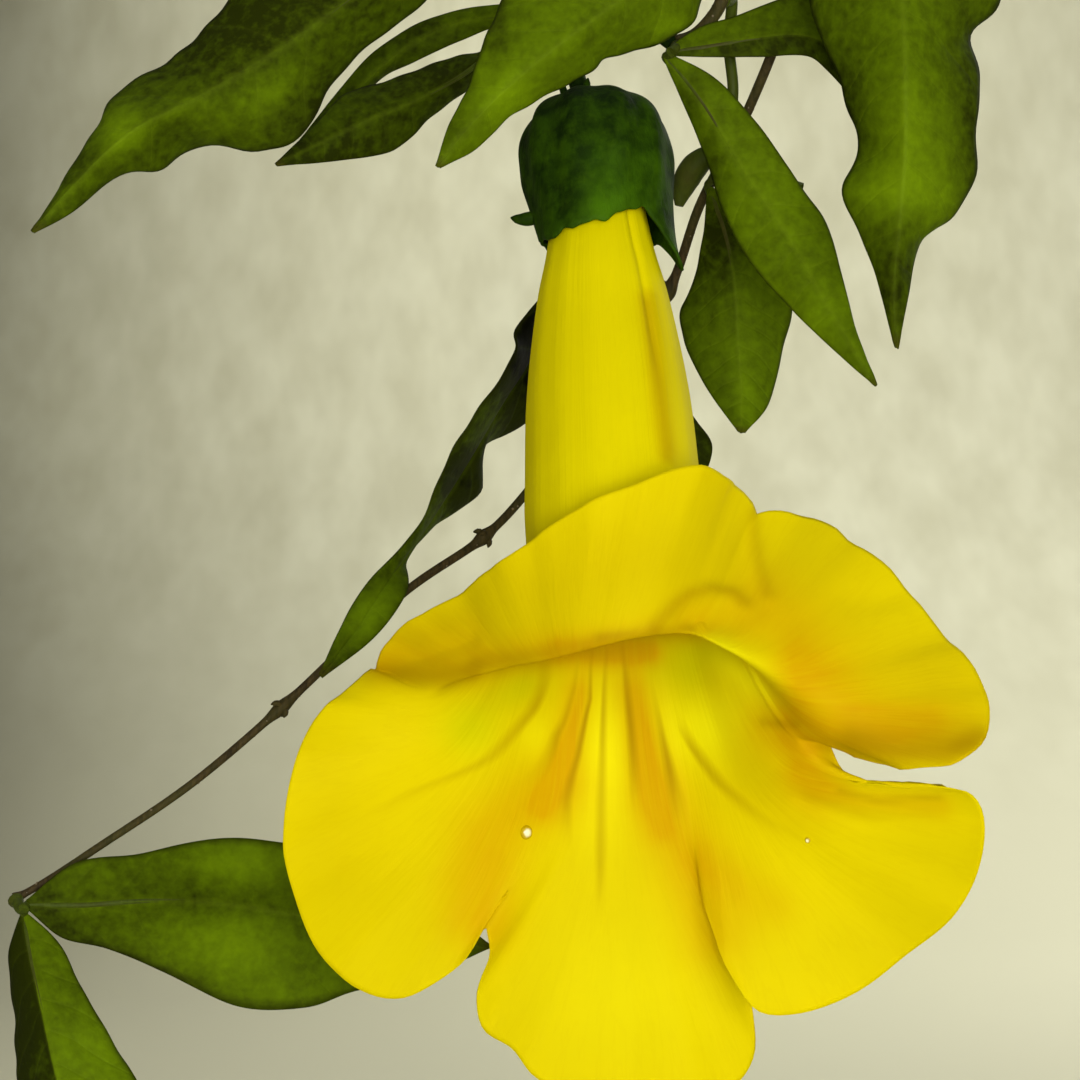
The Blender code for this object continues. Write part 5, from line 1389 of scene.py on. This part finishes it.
# %% [markdown]
# ## One waved leaflet
# A leaflet is a strip between its two margins, folded a little along the midrib, its
# margins rippled. The middle rail and both margins are smooth curves, so the strip
# needs no modelling by hand. Cushions between the side veins and a groove over the
# midrib are added along the normal, and the midrib stands out below as a thin stalk.

# %% Blade of a leaflet
BLADE_ROWS = 92
BLADE_COLUMNS = 41
COLUMN_CROWDING = 1.25
BLADE_DOME = 0.05
WAVE_HEIGHT = 0.72
FRILL_HEIGHT = 0.28
FRILLS_TO_A_WAVE = 3.3
VEIN_PAIRS = 10.5
CUSHION_HEIGHT = 0.10
HALF_AT_MARGIN, HALF_TO_RIB = 0.07, 0.10
RIB_GROOVE, RIB_GROOVE_REACH = 0.13, 0.4
PETIOLULE_RADIUS = 0.46
RIB_TAPER = [(0.0, 0.9), (0.1, 0.72), (1.0, 0.18)]
RIB_SUNK = 0.8
CUSHION_FROM, CUSHION_FULL, CUSHION_FADE = 0.03, 0.25, 0.75


def blade_grid(rails, waves, shift, ripple):
    """Middle surface of a blade, its lengthwise share and its share out to a margin."""
    t = np.linspace(0.0, 1.0, BLADE_ROWS)
    left, middle, right = [curve(rail, t) for rail in rails]
    spread = np.linspace(-1.0, 1.0, BLADE_COLUMNS)
    w = np.sign(spread) * np.abs(spread) ** COLUMN_CROWDING
    out = np.abs(w)[None, :, None]
    margin = np.where((w < 0.0)[None, :, None], left[:, None], right[:, None])
    grid = middle[:, None] * (1.0 - out) + margin * out
    normal = normals_of(grid, closed=False)
    t, w = np.broadcast_arrays(t[:, None], w[None, :])
    half_width = np.linalg.norm(left - right, axis=1)[:, None] / 2 / MM
    turn = 2.0 * pi * waves * t
    wave = w**2 * np.sin(turn + shift + 1.3 * np.sign(w)) * np.sin(pi * t) ** 0.7
    frill = w**4 * np.sin(turn * FRILLS_TO_A_WAVE + 2.0 * shift + 2.2 * np.sign(w)) * np.sin(pi * t)
    dome = BLADE_DOME * half_width * (1.0 - (2.0 * np.abs(w) - 1.0) ** 2)
    lift = ripple * (WAVE_HEIGHT * wave + FRILL_HEIGHT * frill) + dome
    return grid + normal * (lift * MM)[..., None], t, w


def veins_on(grid, w):
    """The number of side veins passed, the way out in vein gaps, and that gap."""
    middle = grid[:, BLADE_COLUMNS // 2]
    run = np.concatenate([[0.0], np.cumsum(np.linalg.norm(np.diff(middle, axis=0), axis=1))])
    gap = run[-1] / VEIN_PAIRS
    out = np.sign(w) * np.linalg.norm(grid - middle[:, None], axis=2) / gap
    count = (run / gap)[:, None] - VEIN_SLANT * np.abs(out) - VEIN_BEND * out**2
    count += VEIN_OFFSET * np.sign(out)
    count += 0.12 * np.sin(1.9 * count + 2.0 * out) * rise(np.abs(out), 0.0, 1.0)
    return count, out, gap


def leaflet(left, middle, right, waves=3.0, shift=0.0, ripple=1.0, away=False, tones=(0.4, 0.4), dabs=()):
    """A leaflet as a thin body, with the line and radii of its raised midrib.

    `away` is for a blade whose rails run so that its upper face would look away.
    """
    grid, share, w = blade_grid((left, middle, right), waves, shift, ripple)
    if away:
        grid, w = grid[:, ::-1], -w[:, ::-1]
    vein_count, vein_out, gap = veins_on(grid, w)
    between_edges = rise(np.abs(w), CUSHION_FROM, CUSHION_FULL) * (1.0 - rise(np.abs(w), CUSHION_FADE, 1.0))
    cushion = CUSHION_HEIGHT * np.abs(np.sin(pi * vein_count)) ** 0.8 * between_edges
    grid = grid + normals_of(grid, closed=False) * (cushion * MM)[..., None]
    full = (1.0 - np.abs(w)) ** 0.5 * np.sin(pi * np.clip(share, 0.02, 0.98)) ** 0.3
    half = (HALF_AT_MARGIN + HALF_TO_RIB * full) * MM
    groove = RIB_GROOVE * bell(vein_out * gap / MM, 0.0, RIB_GROOVE_REACH) * (1.0 - share) * MM
    tone = np.where(w < 0.0, tones[0], tones[1]) + dabbed(seen_at(grid), dabs)
    fields = {"vein_count": vein_count, "vein_out": vein_out, "across": w, "share": share, "tone": tone}
    made = shell("leaflet", grid, half - groove, half, False, [leaf_top, leaf_under], fields)
    radii = PETIOLULE_RADIUS * graded(share[:, 0], RIB_TAPER)
    below = normals_of(grid, closed=False)[:, BLADE_COLUMNS // 2]
    rib = grid[:, BLADE_COLUMNS // 2] - below * (radii * RIB_SUNK * MM)[:, None]
    return made, rib[::2], radii[::2]


print("leaflet grid", BLADE_ROWS, "by", BLADE_COLUMNS)

# %% Two kinds of leaflet
BLADE_FOLD = 0.22
LANCE_FOOT = 0.42
LANCE_TIP = 0.25
LANCE_RAIL_POINTS = 7


def seen_leaflet(left, middle, right, **options):
    """A leaflet whose margins and midrib are read on the photograph's grid."""
    return leaflet(sights(left), sights(middle), sights(right), **options)


def lance_leaflet(base, tip, width, face, sag, **options):
    """A lance-shaped leaflet from base to tip; `face` is the side it turns up."""
    t = np.linspace(0.0, 1.0, LANCE_RAIL_POINTS)
    middle = base + (tip - base) * t[:, None] + place(0.0, 0.0, sag) * (4 * t * (1 - t))[:, None]
    side = unit(np.cross(tip - base, face))
    half = (LANCE_FOOT + width / 2 * np.sin(pi * t**0.85) ** 0.9) * MM
    half[-1] = LANCE_TIP * MM
    drop = unit(face) * -BLADE_FOLD
    left = middle + (side + drop) * half[:, None]
    right = middle + (drop - side) * half[:, None]
    return leaflet(left, middle, right, **options)


print("lance foot and tip in mm", LANCE_FOOT, LANCE_TIP)

# %% A leaf from its petiole and leaflets
PETIOLE_RADIUS = 0.56
PETIOLE_TAPER = [(0.0, 1.5), (0.08, 1.4), (0.2, 1.1), (0.9, 1.0), (1.0, 1.15)]
PETIOLE_SAMPLES = 50
LEAD_SAMPLES = 15
LEAD_FOOT = 0.58
LEAD_JOIN = 3
PETIOLE_SIDES = 12


def seat(centre, radius, toward):
    """The first points of a petiole that grows out of a stalk of this radius."""
    return [centre + unit(toward) * out * MM for out in (0.4 * radius, radius + 0.6, radius + 1.4)]


def bud(node, toward):
    """The first points of a petiole that grows out of a node of the main stem."""
    return seat(stem_points[node], stem_radii(stem_knots[node:node + 1])[0], toward)


def compound_leaf(node, petiole, leaflets, extra=()):
    """A leaf: its petiole, which forks to each leaflet, the leaflets and extra stalks."""
    at = np.linspace(0.0, 1.0, PETIOLE_SAMPLES)
    chains = [(curve(petiole, at), PETIOLE_RADIUS * graded(at, PETIOLE_TAPER)), *extra]
    fork = petiole[-1]
    parts = []
    for made, rib, radii in leaflets:
        lead_route = [fork, fork * 0.45 + rib[0] * 0.55, rib[0], rib[LEAD_JOIN]]
        lead = curve(lead_route, np.linspace(0.0, 1.0, LEAD_SAMPLES + 1))[:-1]
        lead_taper = [(0.0, LEAD_FOOT), (0.2, PETIOLULE_RADIUS), (1.0, radii[LEAD_JOIN])]
        lead_radii = graded(np.linspace(0.0, 1.0, LEAD_SAMPLES), lead_taper)
        stalk = np.concatenate([lead, rib[LEAD_JOIN:]])
        chains.append((stalk, np.concatenate([lead_radii, radii[LEAD_JOIN:]])))
        parts.append(made)
    parts.append(stalks("petioles", chains, PETIOLE_SIDES, petiole_look))
    return dress(join(node + "_fine", parts), node)


print("petiole radius in mm", PETIOLE_RADIUS)

# %% [markdown]
# ## The leaves in the photograph's view
# Each leaf has two leaflets on short stalks. The left margin, midrib and right margin
# of a leaflet are read on the grid from base to tip. The tones say which half of a
# blade catches the light, and the dabs where it is brighter or darker still.

# %% Leaf at the upper left
long_leaflet = seen_leaflet(
    [(515, -133, 34), (440, -135, 33), (330, -80, 32), (250, -22, 31), (205, 25, 30), (172, 62, 30),
     (112, 96, 28), (92, 135, 26), (58, 192, 24), (31, 231, 22)],
    [(520, -130, 34), (400, -40, 28), (290, 42, 25), (200, 96, 24), (130, 133, 22), (75, 184, 22),
     (32, 232, 22)],
    [(523, -126, 34), (480, -70, 33), (425, 0, 32), (372, 42, 31), (330, 90, 30), (300, 135, 30),
     (262, 151, 30), (195, 149, 29), (158, 169, 27), (125, 173, 25), (70, 214, 23), (34, 233, 22)],
    waves=4.0, ripple=0.5, tones=(0.06, 0.16),
    dabs=[(118, 132, 30, 24, -35, 0.65), (270, 92, 56, 20, -35, 0.35), (185, 104, 30, 14, 0, 0.2),
          (310, 100, 30, 24, -40, -0.12), (60, 195, 20, 20, -40, 0.15)])
lower_leaflet = seen_leaflet(
    [(513, -42, 40), (500, 10, 42), (487, 46, 42), (455, 57, 43), (420, 70, 43), (380, 82, 43),
     (346, 94, 42), (320, 120, 40), (275, 164, 36)],
    [(515, -40, 40), (490, 50, 40), (425, 96, 40), (370, 119, 39), (320, 143, 38), (276, 165, 36)],
    [(518, -38, 40), (500, 45, 41), (470, 86, 43), (430, 119, 43), (392, 150, 42), (335, 161, 39),
     (277, 166, 36)],
    shift=0.8, ripple=0.25, tones=(0.03, 0.06), dabs=[(330, 125, 30, 14, -40, 0.1)])
petiole = bud(NODE_PEAK, (-0.1, -1.0, 0.5)) + [place(-60.0, -9.0, 347.0), place(-73.0, -7.5, 339.0),
                                               place(-82.5, -3.0, 328.5)]
compound_leaf("leaf_upper_left", petiole, [long_leaflet, lower_leaflet])

# %% Leaf in front of the calyx and at its right
waved_leaflet = seen_leaflet(
    [(742, -124, 18), (640, -122, 14), (565, -86, 11), (508, -15, 9), (488, 35, 8), (470, 82, 8),
     (452, 118, 8), (436, 166, 8)],
    [(745, -121, 18), (700, -75, 11), (650, -25, 8), (600, 15, 6), (550, 52, 5), (500, 95, 6),
     (465, 132, 7), (437, 167, 8)],
    [(748, -118, 18), (728, -70, 16), (702, -10, 14), (690, 24, 13), (650, 49, 12), (604, 57, 11),
     (585, 74, 10), (548, 97, 10), (506, 118, 9), (474, 150, 9), (440, 168, 8)],
    waves=3.5, shift=0.5, ripple=0.5, tones=(0.35, 0.42),
    dabs=[(505, 95, 30, 30, 35, 0.45), (560, 30, 30, 40, 0, 0.15), (670, 25, 22, 14, 0, 0.25),
          (500, 30, 12, 40, 10, -0.2)])
broad_leaflet = seen_leaflet(
    [(881, -148, 20), (836, -115, 20), (812, -60, 19), (812, 10, 18), (836, 66, 17), (847, 112, 16),
     (858, 150, 16), (844, 190, 15), (862, 238, 13), (880, 292, 10), (895, 347, 8)],
    [(885, -150, 20), (898, -60, 14), (903, 10, 11), (905, 80, 9), (905, 150, 9), (900, 220, 9),
     (894, 290, 8), (896, 348, 8)],
    [(890, -151, 20), (955, -120, 20), (1002, -40, 20), (998, 5, 19), (973, 36, 18), (981, 76, 17),
     (974, 125, 16), (974, 178, 16), (955, 216, 15), (920, 244, 13), (908, 292, 10), (898, 349, 8)],
    waves=3.0, shift=2.0, ripple=0.4, tones=(0.3, 0.3),
    dabs=[(900, 20, 40, 50, 0, 0.1), (905, 120, 28, 60, 0, 0.38), (900, 192, 55, 30, 0, 0.5),
          (850, 95, 14, 50, 0, -0.25), (968, 120, 12, 80, 0, -0.3), (895, 290, 18, 46, 0, -0.3)])
petiole = bud(NODE_FORK, (0.9, -1.0, -0.6)) + [place(-58.5, -10.5, 329.0)]
compound_leaf("leaf_over_flower", petiole, [waved_leaflet, broad_leaflet])

# %% Leaf at the flower's node, to the right
short_leaflet = seen_leaflet(
    [(669, 47, 25), (700, 27, 26), (740, 14, 27), (790, -2, 29), (840, 2, 30), (875, 35, 31),
     (903, 128, 32)],
    [(670, 52, 25), (715, 45, 25), (765, 37, 26), (805, 36, 27), (845, 55, 29), (878, 90, 30),
     (904, 130, 32)],
    [(671, 56, 25), (700, 57, 25), (760, 57, 26), (812, 57, 27), (838, 82, 29), (862, 112, 30),
     (903, 133, 32)],
    waves=2.0, ripple=0.3, away=True, tones=(0.12, 0.35))
drooping_leaflet = seen_leaflet(
    [(663, 58, 25), (681, 97, 25), (703, 152, 25), (724, 213, 24), (750, 262, 22), (790, 308, 20),
     (845, 360, 16), (875, 386, 14)],
    [(665, 56, 25), (702, 102, 23.5), (745, 172, 22.5), (790, 240, 20.5), (825, 302, 18),
     (855, 350, 15.5), (876, 386, 14)],
    [(668, 53, 25), (715, 78, 24), (757, 124, 24), (800, 185, 23), (826, 222, 22), (840, 270, 20),
     (856, 330, 17), (877, 385, 14)],
    waves=2.5, shift=1.5, ripple=0.2, tones=(0.36, 0.42),
    dabs=[(755, 190, 40, 50, 35, 0.12), (710, 190, 14, 50, 0, -0.3), (690, 95, 18, 40, 35, -0.2),
          (825, 315, 30, 40, 35, 0.16)])
petiole = seat(shoot_node, SHOOT_NODE_RADIUS, (-0.15, -1.0, -0.2)) + [sight(671, 53, 24.6)]
compound_leaf("leaf_right_of_flower", petiole, [short_leaflet, drooping_leaflet])

# %% Leaf behind the flower's node
far_leaflet = seen_leaflet(
    [(604, -3, 40), (540, 3, 46), (470, 8, 50), (425, 20, 51), (375, 52, 51), (330, 102, 51),
     (300, 140, 49)],
    [(606, 0, 40), (540, 13, 45), (470, 20, 49), (430, 34, 50), (385, 64, 50), (340, 108, 50),
     (301, 141, 49)],
    [(607, 3, 40), (550, 23, 45), (497, 27, 49), (460, 41, 50), (430, 54, 51), (400, 68, 52),
     (380, 80, 52), (345, 118, 51), (303, 142, 49)],
    waves=2.0, ripple=0.2, tones=(0.2, 0.22))
rising_leaflet = lance_leaflet(sight(614, -8, 42), sight(570, -230, 70), 16.0, (-0.3, -0.8, 0.5), 5.4,
                               shift=1.0)
petiole = seat(shoot_node, SHOOT_NODE_RADIUS, (-0.3, 1.0, 0.3)) + [sight(656, 24, 35), sight(618, 2, 40)]
compound_leaf("leaf_behind_flower_node", petiole, [far_leaflet, rising_leaflet])

# %% Leaf that hangs right of the tube
hanging_leaflet = seen_leaflet(
    [(707, 190, 36), (703, 240, 42), (693, 282, 45), (680, 310, 45), (684, 338, 45), (703, 382, 42),
     (738, 432, 38)],
    [(709, 187, 36), (727, 240, 40), (735, 290, 41), (738, 340, 41), (741, 390, 40), (741, 433, 38)],
    [(711, 186, 36), (745, 210, 41), (776, 250, 44), (791, 300, 45), (783, 350, 44), (768, 405, 41),
     (745, 433, 38)],
    waves=2.0, shift=0.4, ripple=0.3, tones=(0.32, 0.4),
    dabs=[(725, 230, 40, 40, 0, -0.35), (742, 395, 12, 40, 0, 0.15)])
back_leaflet = lance_leaflet(sight(742, 181, 38), sight(782, 250, 82), 9.0, (0.2, -0.3, 0.9), 4.5,
                             shift=2.0)
petiole = seat(sight(*SHOOT_IN_VIEW[1]), SHOOT_RADIUS, (0.6, 1.0, 0.2))
petiole += [sight(729, 45, 31), sight(733, 92, 31), sight(727, 140, 32), sight(716, 174, 34)]
SCALE_LEAF = [(717, 152, 35), (704, 158, 36), (692, 170, 37), (683, 188, 38), (679, 206, 38)]
SCALE_LEAF_RADII = [(0.0, 0.6), (0.2, 1.15), (0.4, 1.4), (0.6, 1.4), (0.8, 1.1), (1.0, 0.45)]
scale_leaf = tapered(sights(SCALE_LEAF), np.linspace(0.0, 1.0, 24), SCALE_LEAF_RADII)
compound_leaf("leaf_right_behind", petiole, [hanging_leaflet, back_leaflet], extra=[scale_leaf])

# %% Leaf behind the tube
edge_leaflet = seen_leaflet(
    [(583, 236, 49), (545, 292, 45), (517, 330, 43), (515, 350, 42), (478, 408, 41), (448, 463, 40),
     (415, 528, 39), (362, 590, 34), (338, 632, 30), (319, 674, 28)],
    [(587, 238, 49), (556, 300, 50), (530, 360, 50), (503, 402, 49), (466, 465, 47), (428, 524, 43),
     (386, 584, 36), (356, 630, 31), (320, 676, 28)],
    [(590, 241, 49), (565, 330, 54), (540, 408, 56), (505, 435, 55), (480, 452, 53), (480, 490, 51),
     (440, 520, 48), (408, 556, 42), (407, 592, 36), (375, 637, 31), (322, 678, 28)],
    waves=3.5, shift=1.0, ripple=0.3, tones=(0.2, 0.2),
    dabs=[(530, 340, 30, 80, 10, -0.9), (462, 480, 22, 32, 10, -0.5), (372, 615, 18, 36, 40, 0.7),
          (496, 405, 14, 26, 30, 0.15)])
hidden_leaflet = seen_leaflet(
    [(597, 241, 51), (598, 300, 53), (606, 360, 56), (618, 420, 59), (632, 470, 61), (645, 512, 62),
     (656, 541, 62)],
    [(599, 240, 51), (618, 300, 53), (638, 360, 56), (656, 420, 58), (667, 460, 60), (664, 505, 61),
     (657, 542, 62)],
    [(601, 239, 51), (638, 300, 54), (662, 360, 57), (681, 398, 59), (697, 421, 60), (712, 444, 60),
     (707, 470, 60), (686, 508, 61), (658, 543, 62)],
    waves=1.0, ripple=0.3, tones=(0.05, 0.0))
petiole = bud(NODE_BEHIND_TUBE, (-0.6, 0.8, 0.6))
petiole += [sight(640, 262, 51), sight(610, 240, 51), sight(594, 232, 50)]
compound_leaf("leaf_left_of_tube", petiole, [edge_leaflet, hidden_leaflet])

# %% Leaf at the stem's end
level_leaflet = seen_leaflet(
    [(26, 900, 25), (75, 863, 27), (140, 853, 29), (215, 839, 32), (285, 843, 34), (360, 858, 36),
     (430, 896, 37), (489, 944, 38)],
    [(27, 905, 25), (85, 905, 25), (150, 901, 26), (220, 903, 29), (290, 914, 32), (370, 926, 35),
     (490, 946, 38)],
    [(29, 911, 25), (62, 938, 26), (108, 948, 28), (165, 972, 30), (238, 1007, 33), (305, 1008, 35),
     (350, 992, 37), (430, 974, 38), (490, 948, 38)],
    waves=2.0, ripple=0.3, away=True, tones=(0.3, 0.3),
    dabs=[(245, 866, 60, 20, 0, 0.42), (210, 903, 60, 10, 5, -0.12), (225, 948, 65, 30, 5, 0.52),
          (275, 992, 50, 14, 0, 0.2), (130, 960, 60, 12, 24, -0.3), (40, 905, 40, 30, 0, -0.2)])
end_leaflet = seen_leaflet(
    [(20, 915, 25), (10, 955, 25), (14, 1030, 25), (24, 1090, 24), (50, 1150, 22), (118, 1240, 16)],
    [(23, 914, 25), (32, 965, 22), (44, 1020, 19), (58, 1080, 17), (80, 1150, 15), (121, 1243, 14)],
    [(27, 913, 25), (60, 944, 24), (82, 990, 22), (115, 1045, 20), (142, 1090, 18), (158, 1150, 16),
     (124, 1244, 14)],
    waves=2.5, shift=1.2, ripple=0.4, tones=(-0.1, 0.4), dabs=[(105, 1050, 40, 40, 30, 0.3)])
petiole = bud(NODE_END, (0.5, -1.0, -0.5)) + [sight(24, 909, 24.6)]
compound_leaf("leaf_lower_left", petiole, [level_leaflet, end_leaflet])

# %% [markdown]
# ## The leaves out of the photograph's view
# Three more pairs stand at the nodes between the vase and the arch. Their leaflets
# are lance-shaped like the others, given by base, tip, width and the way they face.

# %% Leaves above the vase, halfway up and at the peak
# Each row: node, the stem's node and the way out of it, the petiole's points, and for
# each leaflet its base, tip, width, face, sag and the shift of its waves
OTHER_LEAVES = [
    ("leaf_above_vase", NODE_LOW, (0.6, -1.0, 0.2), [(-8.0, -4.0, 200.5), (-1.0, -12.0, 207.0)],
     [((4.0, -15.0, 208.0), (50.0, -34.0, 172.0), 22.0, (0.6, -0.3, 0.75), 12.0, 0.0),
      ((2.0, -17.0, 212.0), (26.0, -50.0, 236.0), 19.0, (-0.2, -0.2, 0.95), 6.0, 1.7)]),
    ("leaf_mid_stem", NODE_MID, (0.7, 1.0, 0.15), [(-12.0, 16.0, 256.0), (-5.0, 23.0, 262.0)],
     [((2.0, 26.0, 264.0), (44.0, 46.0, 236.0), 20.0, (0.6, 0.1, 0.8), 10.0, 0.9),
      ((-2.0, 27.0, 267.0), (16.0, 52.0, 308.0), 18.0, (0.3, -0.8, 0.5), 5.0, 0.0)]),
    ("leaf_at_peak", NODE_PEAK, (0.3, 0.8, 1.0), [(-39.0, 11.0, 358.0)],
     [((-34.0, 13.0, 360.0), (8.0, 22.0, 352.0), 20.0, (0.1, -0.3, 0.95), 12.0, 0.0),
      ((-39.0, 15.0, 362.0), (-42.0, 58.0, 376.0), 19.0, (0.0, -0.4, 0.9), 7.0, 2.4)]),
]
for name, node, toward, points, blades in OTHER_LEAVES:
    leaflets = [lance_leaflet(place(*base), place(*tip), width, face, sag, shift=shift)
                for base, tip, width, face, sag, shift in blades]
    compound_leaf(name, bud(node, toward) + [place(*point) for point in points], leaflets)

# %% [markdown]
# ## Drops on the petals
# Two small drops of water stand on the lower lobes. Each is a flattened sphere on the
# petal's inner face, placed where the photograph shows it. Its colour is painted light:
# a near-white highlight on its top, and a rim as dark as the petal round it that
# stands for the petal seen through the water.

# %% Drops of water
# Column and row on the grid, and radius in mm
DROPS = [(525, 833, 0.62), (810, 841, 0.28)]
DROP_LENGTH = 1.12
DROP_HEIGHT, DROP_SUNK = 0.62, 0.2
dew_look, tree, surface, here = new_finish("dew", Roughness=0.08, Specular_IOR_Level=0.6)
# Painted highlight: a near-white core on the drop's top, over a darker amber painted in for the petal seen
# through the water
painted_glint = steps(tree, cloud(tree, here, 3000.0, 0.0), (0.0, 0.85), (1.0, 1.0))
painted_glint = calc(tree, "MULTIPLY", painted_glint, painted(tree, "painted_glint_mask"))
coloured(tree, surface, blended(tree, painted_glint, (0.52, 0.36, 0.0), (1.0, 0.97, 0.62)))
petal_normal = normals_of(petal_grid, closed=True)
hidden = np.where(free > 0.0, 0.0, np.inf)
beads = bmesh.new()
painted_glint_mask = []
for column, row, radius in DROPS:
    off = np.linalg.norm(seen_at(petal_grid) - (column, row), axis=-1) + hidden
    i, j = np.unravel_index(np.argmin(off), off.shape)
    inward = -petal_normal[i, j]
    side = unit(np.cross(inward, (0.0, 0.0, 1.0)))
    down = np.cross(inward, side) * DROP_LENGTH
    foot = petal_grid[i, j] + inward * petal_half[i, j]
    for vert in bmesh.ops.create_icosphere(beads, subdivisions=3, radius=1.0)["verts"]:
        x, y, z = vert.co
        painted_glint_mask.append(rise(z, 0.72, 0.95))
        height = DROP_HEIGHT if z > 0.0 else DROP_SUNK
        vert.co = foot + (side * x + down * y + inward * z * height) * radius * MM
drop_mesh = bpy.data.meshes.new("dew_drops")
beads.to_mesh(drop_mesh)
beads.free()
drop_mesh.materials.append(dew_look)
drop_mesh.shade_smooth()
drops = in_scene("dew_drops", drop_mesh)
carry(drops, "painted_glint_mask", painted_glint_mask)
dress(outward(drops))

# %% [markdown]
# ## Size and finish
# The box of the solids and the box of the finished pieces are printed, so that a growth
# in size can be seen.

# %% Print the sizes and finish
SHOWN_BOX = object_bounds()
sizes = {"cad": [list(corner) for corner in CAD_BOX], "shown": [list(corner) for corner in SHOWN_BOX]}
print("solids in mm", [[round(v / MM, 1) for v in corner] for corner in CAD_BOX])
print("shown in mm", [[round(v / MM, 1) for v in corner] for corner in SHOWN_BOX])
